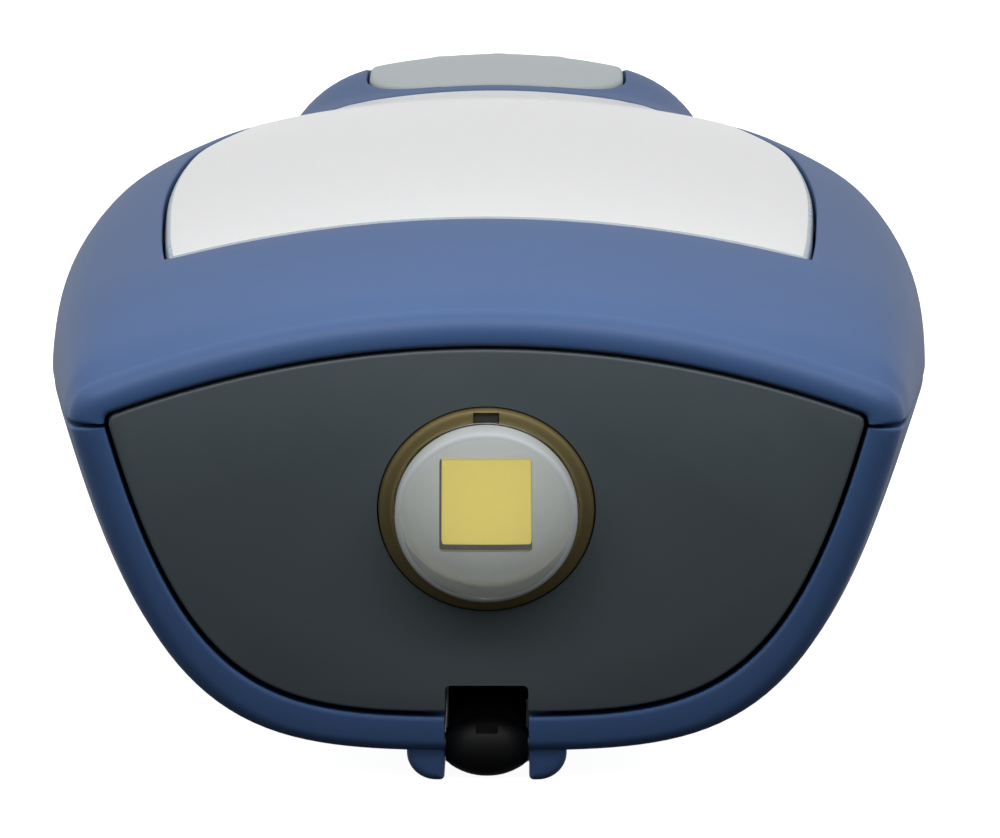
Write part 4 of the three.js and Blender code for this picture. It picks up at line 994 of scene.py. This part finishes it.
# ---------------------------------------------------------------------------------------------------------
# Spot reflector: a bowl moulded in white plastic, held by its edge between the lens and the ring's lip and
# open in its middle for the diode. Its colour is made greyer towards the bottom, as a painted-in shade.
FLOOR = -2.7
BOWL_FOOT = 4.1
BOWL_RADIUS = LENS_RADIUS - 0.63
BOWL_RISE = 1.06
flange = LENS_RADIUS - 0.03
cup_profile = [(0, FLOOR)]
cup_profile += [(BOWL_FOOT + (BOWL_RADIUS - BOWL_FOOT) * share,
                 FLOOR + BOWL_RISE * (1 - math.sqrt(1 - share ** 2))) for share in np.linspace(0, 1, 12)]
cup_profile += [(flange, -1.56), (flange, -1.72), (BOWL_RADIUS + 0.01, -1.72),
                (BOWL_RADIUS + 0.01, FLOOR - 0.4), (0, FLOOR - 0.4)]
reflector = turned("reflector_cup", cup_profile, on_spot, 96, 40)
bowl = Finish("reflector_white", Roughness=0.3)
height = bowl.node("ShaderNodeSeparateXYZ", {}, {0: bowl.place}, output="Z")
lit = bowl.ramp((height - (centre.z - 0.006)) * (1 / 0.012), (0.1, 0), (0.85, 1))
mist = bowl.noise(3, 2)
bowl.feed(Base_Color=bowl.mix(lit, linear(158, 158, 152), linear(244, 246, 244)),
          Roughness=0.28 + mist * 0.08,
          Normal=bowl.bump(bowl.noise(0.12, 2), 0.002))
dress(reflector, bowl.material)
white = moulded("white_plastic", linear(226, 228, 226), linear(216, 218, 215), 0.4, 0.12, 0.003)
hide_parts("spot_reflector")


def square(half, corner=0.2, left=0.0, low=0.0):
    points = []
    for k, (x, y) in enumerate(((1, -1), (1, 1), (-1, 1), (-1, -1))):
        across = x * half - (left if x < 0 else 0)
        up = y * half - (low if y < 0 else 0)
        points += arc(across - x * corner, up - y * corner, corner, -90 + 90 * k, 90 * k, 4)
    return points


# ---------------------------------------------------------------------------------------------------------
# Spot diode: a square white ceramic package, a thin dark sheet on it that shows to the left of and below
# the phosphor as a painted shadow gap, and a yellow phosphor face. The face gives off a little light so
# that it reads bright although the lamp is off.
PHOSPHOR_HALF = 2.54


def on_diode(x, up, out):
    return on_spot(x, up - 0.1, out)


# The opening reaches further left and down, where the dark sheet below shows as a painted shadow gap.
cut(reflector, prism("diode_room", square(PHOSPHOR_HALF + 0.05, 0.2, 0.1, 0.42), -4, -2, on_diode))
smoothed(reflector, 40)
package = prism("diode_body", square(PHOSPHOR_HALF + 0.1), -4.2, -3.4, on_diode, top=0.1)
ceramic = moulded("ceramic_white", linear(214, 214, 208), linear(204, 204, 198), 0.5, 0.1, 0.002)
dress(package, ceramic)
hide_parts("spot_led")
# Dark sheet under the phosphor, showing at its left and lower side: a painted shadow gap.
seat = prism("diode_painted_shadow", square(PHOSPHOR_HALF + 0.1, 0.2, 0.15, 0.5), -3.35, -3.12, on_diode)
dress(seat, painted_dark)
phosphor_face = prism("diode_phosphor", square(PHOSPHOR_HALF, 0.12), -3.1, -2.6, on_diode, top=0.06)
yellow = Finish("yellow_phosphor", Roughness=0.6, Emission_Color=linear(250, 224, 96),
                Emission_Strength=0.3)
speck = yellow.noise(0.12, 2, 0.7)
yellow.feed(Base_Color=yellow.mix(speck, linear(244, 220, 104), linear(230, 204, 88)),
            Roughness=0.5 + speck * 0.2,
            Normal=yellow.bump(speck, 0.01))
dress(phosphor_face, yellow.material)
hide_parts("spot_phosphor")

# ---------------------------------------------------------------------------------------------------------
# Hook: glass-filled black nylon, moulded in one piece with a round hub on the pin, a cranked stem and an
# open crook. It folds into the recess and swings out half a turn to hang the lamp.
HUB_RADIUS = 2.0
HUB_HALF = CHANNEL - 0.08
HUB_END = HUB_RADIUS - 0.92
hub_profile = [(0, -HUB_HALF), (HUB_END - 0.06, -HUB_HALF)]
for step in range(1, 16):
    h = -HUB_HALF + 2 * HUB_HALF * step / 16
    hub_profile.append((HUB_RADIUS - (HUB_RADIUS - HUB_END) * abs(h / HUB_HALF) ** 2.2, h))
hub_profile += [(HUB_END - 0.06, HUB_HALF), (0, HUB_HALF)]


def on_pin(a, b, h):
    return (h, along(PIVOT_STATION) + a, PIVOT_HEIGHT + b)


hook = turned("hanging_hook", hub_profile, on_pin, 64, 40)
crank_low = HOOK_LOW - PIVOT_HEIGHT
crank_high = HOOK_HIGH - PIVOT_HEIGHT
crank_outline = [(1.2, -1.2), (3.2, crank_low), (8, crank_low), (8, crank_high), (2.5, crank_high),
                 (1.5, crank_high - 0.5), (-0.8, 1.2)]


def crank_ring(x, inset):
    return [(x, along(PIVOT_STATION) + a, PIVOT_HEIGHT + b) for a, b in drawn_in(crank_outline, inset)]


levels = fillet(0.45, 5)
rings = [crank_ring(-HALF_STEM + 0.02 + depth, inset) for depth, inset in levels]
rings += [crank_ring(HALF_STEM - 0.02 - depth, inset) for depth, inset in reversed(levels)]
cut(hook, stacked("crank", rings), "UNION")
stem_start = PIVOT_STATION + 6.5
tip = math.radians(200)
crook = [(HALF_STEM, stem_start)]
turn_on = math.degrees(math.asin(HALF_STEM / (CROOK_RADIUS + CROOK_BAR / 2)))
crook += arc(0, CROOK_STATION, CROOK_RADIUS + CROOK_BAR / 2, turn_on - 90, 200, 90)
crook += arc(CROOK_RADIUS * math.cos(tip), CROOK_STATION + CROOK_RADIUS * math.sin(tip), CROOK_BAR / 2,
             200, 380, 24)[1:-1]
crook += arc(0, CROOK_STATION, CROOK_RADIUS - CROOK_BAR / 2, 200, -78, 80)
corner_y = CROOK_STATION - math.sqrt((CROOK_RADIUS - CROOK_BAR / 2) ** 2 - 1)
crook += arc(-HALF_STEM + 1.6, corner_y - 1.6, 1.6, 90, 180, 8)
crook.append((-HALF_STEM, stem_start))
cut(hook, prism("crook", crook, HOOK_LOW, HOOK_HIGH, from_above, top=0.55, bottom=0.55), "UNION")
nail = prism("nail", [(-0.7, 1.0), (0.7, 1.0), (0.7, 1.6), (-0.7, 1.6)], -0.85, 2,
             lambda x, z, out: (x, along(PIVOT_STATION) - HUB_RADIUS - out, PIVOT_HEIGHT + z))
cut(hook, nail)
cut(hook, turned("bore", [(0, -4), (PIN_RADIUS + 0.1, -4), (PIN_RADIUS + 0.1, 4), (0, 4)], on_pin, 40))
smoothed(hook, 30)
black = moulded("black_nylon", linear(15, 16, 18), linear(24, 25, 27), 0.48, 0.13, 0.01, 0.1,
                Specular_IOR_Level=0.2)
dress(hook, black, "hook_body")
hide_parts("hook")

# ---------------------------------------------------------------------------------------------------------
# Pin: a ground steel dowel with slightly domed ends. It is pressed through both rails, just short of their
# outsides, and the hook's hub turns on it.
half_pin = CHANNEL + RAIL_WIDTH - 0.15
pin_profile = [(0, -half_pin), (PIN_RADIUS - 0.3, -half_pin + 0.03), (PIN_RADIUS - 0.08, -half_pin + 0.1),
               (PIN_RADIUS, -half_pin + 0.25), (PIN_RADIUS, half_pin - 0.25),
               (PIN_RADIUS - 0.08, half_pin - 0.1), (PIN_RADIUS - 0.3, half_pin - 0.03), (0, half_pin)]
pin = turned("hinge_pin", pin_profile, on_pin, 40)
steel = metal("ground_steel", linear(186, 188, 190), 0.26)
dress(pin, steel)
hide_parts("hook_pin")

# ---------------------------------------------------------------------------------------------------------
# Handle cover: a soft-touch grey panel let into the back of the grip, flush with it, with holes for the
# button's bezel and the three charge lights.
COVER_GAP = 0.2
BUTTON_START = GRIP_PEAK + 8
BUTTON_END = BUTTON_START + 15
BUTTON_HALF = 5.0
BEZEL = 1.2
LIGHT_STATION = BUTTON_END + 7
LIGHT_RADIUS = 1.1
LIGHT_STEP = 4.5


def cover_straight(station):
    return COVER_HALF - COVER_GAP


def pill(half, start, end, steps=20):
    """A long round-ended outline in plan, counterclockwise."""
    return (arc(0, start + half, half, 180, 360, steps) + arc(0, end - half, half, 0, 180, steps))


def button_outline(inset):
    return pill(BUTTON_HALF - inset, BUTTON_START + inset, BUTTON_END - inset)


cover = panel("grip_panel", COVER_START + COVER_GAP, COVER_START + COVER_LENGTH - COVER_GAP,
              (COVER_CORNER, COVER_CORNER), cover_straight, 0.35, 1.2, 0.05)
cut(cover, prism("button_room", button_outline(-GAP - BEZEL - 0.05), 20, 45, from_above))
for step in (-1, 0, 1):
    place = upright(LIGHT_STEP * step, LIGHT_STATION)
    cut(cover, prism("light_room", disc(LIGHT_RADIUS + 0.12, 40), 20, 45, place))
smoothed(cover, 50)
soft_grey = moulded("soft_touch_grey", linear(190, 198, 200), linear(198, 205, 207), 0.72, 0.1, 0.006)
dress(cover, soft_grey)
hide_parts("handle_cover")

# ---------------------------------------------------------------------------------------------------------
# Button: a cap moulded in black nylon, a little hollow for the thumb. It slides down through the cover
# towards the switch on the board and springs back.


def draped(outline, depth):
    """An outline in plan laid on the body's top surface, or below it by a depth."""
    return [(x, along(s), skin(s, x) - depth) for x, s in outline]


rings = [draped(button_outline(0), 3.0), draped(button_outline(0), 0.9)]
rings += [draped(button_outline(0.6 - inset), 0.9 - depth)
          for depth, inset in ((0.25, 0.56), (0.42, 0.44), (0.54, 0.24), (0.6, 0.0))]
hollow = ((1.0, 0.32), (1.8, 0.42), (2.6, 0.5), (3.4, 0.55), (4.2, 0.58), (4.7, 0.58))
rings += [draped(button_outline(inset), depth) for inset, depth in hollow]
cap = stacked("button_cap", rings, 45)
dress(cap, black, "button_body")
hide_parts("power_button")

# ---------------------------------------------------------------------------------------------------------
# Button bezel: a narrow bronze anodised ring, the same finish as the spot's. It is pushed into the cover
# round the button and stands almost flush.
bezel_levels = [(BEZEL, 1.2), (BEZEL, 0.14), (BEZEL - 0.12, 0.01), (BEZEL - 0.35, -0.04), (0.35, -0.04),
                (0.12, 0.01), (0, 0.14), (0, 1.2)]
rings = [draped(button_outline(-GAP - out), depth) for out, depth in bezel_levels]
bezel = looped("button_frame", rings, 30)
dress(bezel, bronze)
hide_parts("button_bezel")

# ---------------------------------------------------------------------------------------------------------
# Charge lights: three little opal light guides with domed ends, pushed up through the cover in a row across
# it, on the tail side of the button.
for step in (-1, 0, 1):
    top = skin(LIGHT_STATION, LIGHT_STEP * step)
    guide_profile = [(0, top - 4), (LIGHT_RADIUS, top - 4), (LIGHT_RADIUS, top - 0.15)]
    guide_profile += [(LIGHT_RADIUS * math.cos(a), top - 0.15 + 0.3 * math.sin(a))
                      for a in np.linspace(0.2, math.pi / 2 - 0.1, 7)]
    guide = turned(f"light_guide_{step + 2}", guide_profile + [(0, top + 0.15)],
                   upright(LIGHT_STEP * step, LIGHT_STATION), 40)
    dress(guide, opal.material)
    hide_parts(f"charge_light_{step + 2}")

# ---------------------------------------------------------------------------------------------------------
# Magnet pad: a rubber disc over the strong magnet in the head's back, bonded into its seat. Its foot has
# two moulded grooves so that it grips a curved or painted panel.
pad_profile = [(0, 0.0)]
for groove in (4.0, 8.0):
    pad_profile += [(groove - 0.45, 0.0), (groove - 0.25, 0.22), (groove, 0.3), (groove + 0.25, 0.22),
                    (groove + 0.45, 0.0)]
pad_profile += [(PAD_RADIUS - 0.6, 0.0), (PAD_RADIUS - 0.25, 0.08), (PAD_RADIUS - 0.05, 0.3),
                (PAD_RADIUS, 0.6), (PAD_RADIUS, 1.2), (0, 1.2)]
pad = turned("rubber_pad", pad_profile, upright(0, MAGNET_STATION), 96, 50)
rubber = moulded("black_rubber", linear(44, 46, 48), linear(58, 60, 62), 0.74, 0.2, 0.014, 0.1)
dress(pad, rubber)
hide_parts("magnet_pad")

# ---------------------------------------------------------------------------------------------------------
# Tail plate: the grey nylon moulding that closes the handle's end, let in just below the rim with a narrow
# gap all round. It has a pocket for the magnet and openings for the flap and the charging socket.
FLAP_HALF = 6.5
FLAP_HEIGHT = 6.2
PORT_HEIGHT = belt(LENGTH)
FLAP_BOTTOM = PORT_HEIGHT - FLAP_HEIGHT / 2
TAIL_MAGNET_RADIUS = 4.2
MAGNET_HEIGHT = FLAP_BOTTOM - TAIL_MAGNET_RADIUS - 3.2
FLAP_FACE = LENGTH - PLATE_RECESS
SOCKET_RADIUS = 1.65


def on_tail(x, z, out):
    """A point on the tail's end: across it, above the floor, and out of it."""
    return (x, along(FLAP_FACE) + out, z)


def around_magnet(x, z, out):
    return on_tail(x, MAGNET_HEIGHT + z, out)


def flap_outline(inset):
    half = FLAP_HALF - inset
    top = FLAP_BOTTOM + FLAP_HEIGHT - inset
    corner = 1.5 - inset * 0.5
    points = arc(-half + 0.3, FLAP_BOTTOM + inset + 0.3, 0.3, 180, 270, 5)
    points += arc(half - 0.3, FLAP_BOTTOM + inset + 0.3, 0.3, 270, 360, 5)
    points += arc(half - corner, top - corner, corner, 0, 90, 10)
    return points + arc(corner - half, top - corner, corner, 90, 180, 10)


def port_outline(spare):
    radius = SOCKET_RADIUS + spare
    half = SOCKET_HALF - SOCKET_RADIUS
    return (arc(half, PORT_HEIGHT, radius, -90, 90, 20) + arc(-half, PORT_HEIGHT, radius, 90, 270, 20))


tail_plate = prism("tail_cap", section_outline(LENGTH, WALL + PLATE_GAP, 0, 1), -2, 0, on_tail, top=0.22)
cut(tail_plate, prism("pocket", disc(TAIL_MAGNET_RADIUS + 0.9), -3.8, -0.6, around_magnet), "UNION")
cut(tail_plate, prism("magnet_room", disc(TAIL_MAGNET_RADIUS + 0.12, 96), -2.7, 1, around_magnet))
cut(tail_plate, prism("flap_room", flap_outline(-0.2), -1.2, 1, on_tail))
cut(tail_plate, prism("port_room", port_outline(0.2), -8, 1, on_tail))
smoothed(tail_plate, 25)
dress(tail_plate, grey)
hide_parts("tail_plate")

# ---------------------------------------------------------------------------------------------------------
# Tail magnet: a bright nickel-plated disc with a rounded edge, glued into the plate's pocket so that its
# face is level with the plate.
tail_magnet = prism("round_magnet", disc(TAIL_MAGNET_RADIUS, 96), -2.5, 0, around_magnet, top=0.3)
nickel = metal("bright_nickel", linear(196, 194, 188), 0.2)
dress(tail_magnet, nickel)
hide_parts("tail_magnet")

# ---------------------------------------------------------------------------------------------------------
# Socket flap: moulded rubber, hinged along its lower edge. A plug on its inside fills the opening in front
# of the socket, and a thumb notch near its top edge opens it.
flap = prism("socket_flap", flap_outline(0), -1, 0, on_tail, top=0.22)
cut(flap, prism("thumb", pill(0.55, -2.2, 2.2, 12), -0.28, 1,
                lambda s, x, out: on_tail(x, FLAP_BOTTOM + FLAP_HEIGHT - 1.4 - s, out)))
cut(flap, prism("plug", port_outline(-0.6), -2, -0.5, on_tail, bottom=0.3), "UNION")
smoothed(flap, 35)
dress(flap, rubber, "port_cover_body")
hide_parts("port_cover")

# ---------------------------------------------------------------------------------------------------------
# Charging socket: a drawn steel shell, nickel plated, round a flat tongue. It stands just behind the
# opening in the tail plate.
socket = prism("charging_socket", port_outline(0), -9.4, -2.1, on_tail)
cut(socket, prism("mouth", port_outline(-0.3), -8.4, 0, on_tail))
TONGUE_HALF = 3.24
tongue_low = PORT_HEIGHT - 0.35
tongue_high = PORT_HEIGHT + 0.35
tongue_outline = [(-TONGUE_HALF, tongue_low), (TONGUE_HALF, tongue_low), (TONGUE_HALF, tongue_high),
                  (-TONGUE_HALF, tongue_high)]
tongue = prism("tongue", tongue_outline, -9.0, -4.1, on_tail, top=0.15)
cut(socket, tongue, "UNION")
smoothed(socket, 35)
dress(socket, nickel)
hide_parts("charge_socket")

# ---------------------------------------------------------------------------------------------------------
# Inside: the parts that the shells hide keep their plain shapes. Boards are green or white glass-epoxy,
# the spreader and heat sink are cast aluminium, and the cell has a printed-blue sleeve.
cast = metal("cast_aluminium", linear(172, 175, 178), 0.42, 0.4, 0.006)
circuit = moulded("green_board", linear(31, 78, 58), linear(40, 92, 68), 0.4, 0.2, 0.004)
white_mask = moulded("white_board", linear(232, 232, 228), linear(222, 222, 218), 0.42, 0.15, 0.003)
sleeve = moulded("cell_sleeve", linear(63, 116, 176), linear(72, 126, 184), 0.32, 0.6, 0.004)
ribbon = moulded("ribbon_lead", linear(226, 226, 222), linear(212, 212, 208), 0.5, 0.2, 0.003)
inner_finishes = (
    (steel, ("back_magnet", "magnet_cup", "positive_tab", "negative_tab")),
    (cast, ("heat_spreader", "spot_heat_sink")),
    (circuit, ("control_board", "charge_board", "spot_board")),
    (white_mask, ("led_board",)),
    (yellow.material, ("led_strip_left", "led_strip_right")),
    (white, ("light_tray",)),
    (sleeve, ("battery_cell",)),
    (black, ("tactile_switch",)),
    (rubber, ("window_seal", "plate_gasket", "tail_gasket")),
    (ribbon, ("led_ribbon", "spot_ribbon", "charge_ribbon")),
)
for material, names in inner_finishes:
    for name in names:
        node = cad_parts[name]
        node.data.materials.clear()
        node.data.materials.append(material)

# ---------------------------------------------------------------------------------------------------------
# Studio: plain white paper as the floor, glowing evenly apart from a painted shadow under the hook's
# recess, a soft surround that darkens towards the front and below, one narrow soft box close in front and
# one wide one high up.
floor_mesh = bpy.data.meshes.new("floor")
floor_mesh.from_pydata([(-4, -4, 0), (4, -4, 0), (4, 4, 0), (-4, 4, 0)], [], [(0, 1, 2, 3)])
floor = bpy.data.objects.new("floor", floor_mesh)
bpy.context.scene.collection.objects.link(floor)
paper = Finish("white_paper", Roughness=0.9, Base_Color=(0.6, 0.6, 0.6, 1), Specular_IOR_Level=0.0,
               Emission_Strength=0.95)
# Painted shadow: the paper's glow is turned off in an oval under the hook's recess.
SHADE_HALF_WIDTH = 0.006  # metres; the paper is in the dark under the hook's recess
SHADE_HALF_LENGTH = 0.0205
SHADE_CENTRE = -0.067
reach = paper.node("ShaderNodeVectorMath", {"operation": "MULTIPLY_ADD"},
                   {0: paper.place, 1: (1 / SHADE_HALF_WIDTH, 1 / SHADE_HALF_LENGTH, 0),
                    2: (0, -SHADE_CENTRE / SHADE_HALF_LENGTH, 0)})
reach = paper.node("ShaderNodeVectorMath", {"operation": "LENGTH"}, {0: reach}, output="Value")
paper.feed(Emission_Color=paper.ramp(reach, (0.97, 0), (1.0, 1)))
floor.data.materials.append(paper.material)
floor.visible_diffuse = False
floor.visible_glossy = False


def soft_box(name, place, size, power):
    """A rectangular light of a size in metres and a power in watts, turned towards the lamp."""
    light = bpy.data.lights.new(name, "AREA")
    light.shape = "RECTANGLE"
    light.size, light.size_y = size
    light.energy = power
    holder = bpy.data.objects.new(name, light)
    holder.location = place
    holder.rotation_euler = (Vector(place) - Vector((0, 0, 0.02))).to_track_quat("Z", "Y").to_euler()
    holder.visible_camera = False
    bpy.context.scene.collection.objects.link(holder)


soft_box("front_box", (0.0, -0.127, 0.058), (0.12, 0.012), 0.021)
soft_box("top_box", (0.0, 0.25, 0.8), (0.7, 0.7), 1.0)

world = bpy.data.worlds.new("studio")
world.use_nodes = True
surround = Nodes(world.node_tree, "Generated")
depth = surround.node("ShaderNodeSeparateXYZ", {}, {0: surround.place}, output="Y")
height = surround.node("ShaderNodeSeparateXYZ", {}, {0: surround.place}, output="Z")
sky = surround.ramp((depth + height * 2.2) * 0.25 + 0.5, (0.12, 0.02), (0.25, 0.06), (0.42, 0.22),
                    (0.6, 0.72), (0.72, 0.9), (0.8, 0.78), (0.9, 0.64), (1.0, 0.58))
surround.tree.links.new(sky.socket, surround.tree.nodes["Background"].inputs["Color"])
bpy.context.scene.world = world
bpy.context.scene.view_settings.view_transform = "Standard"
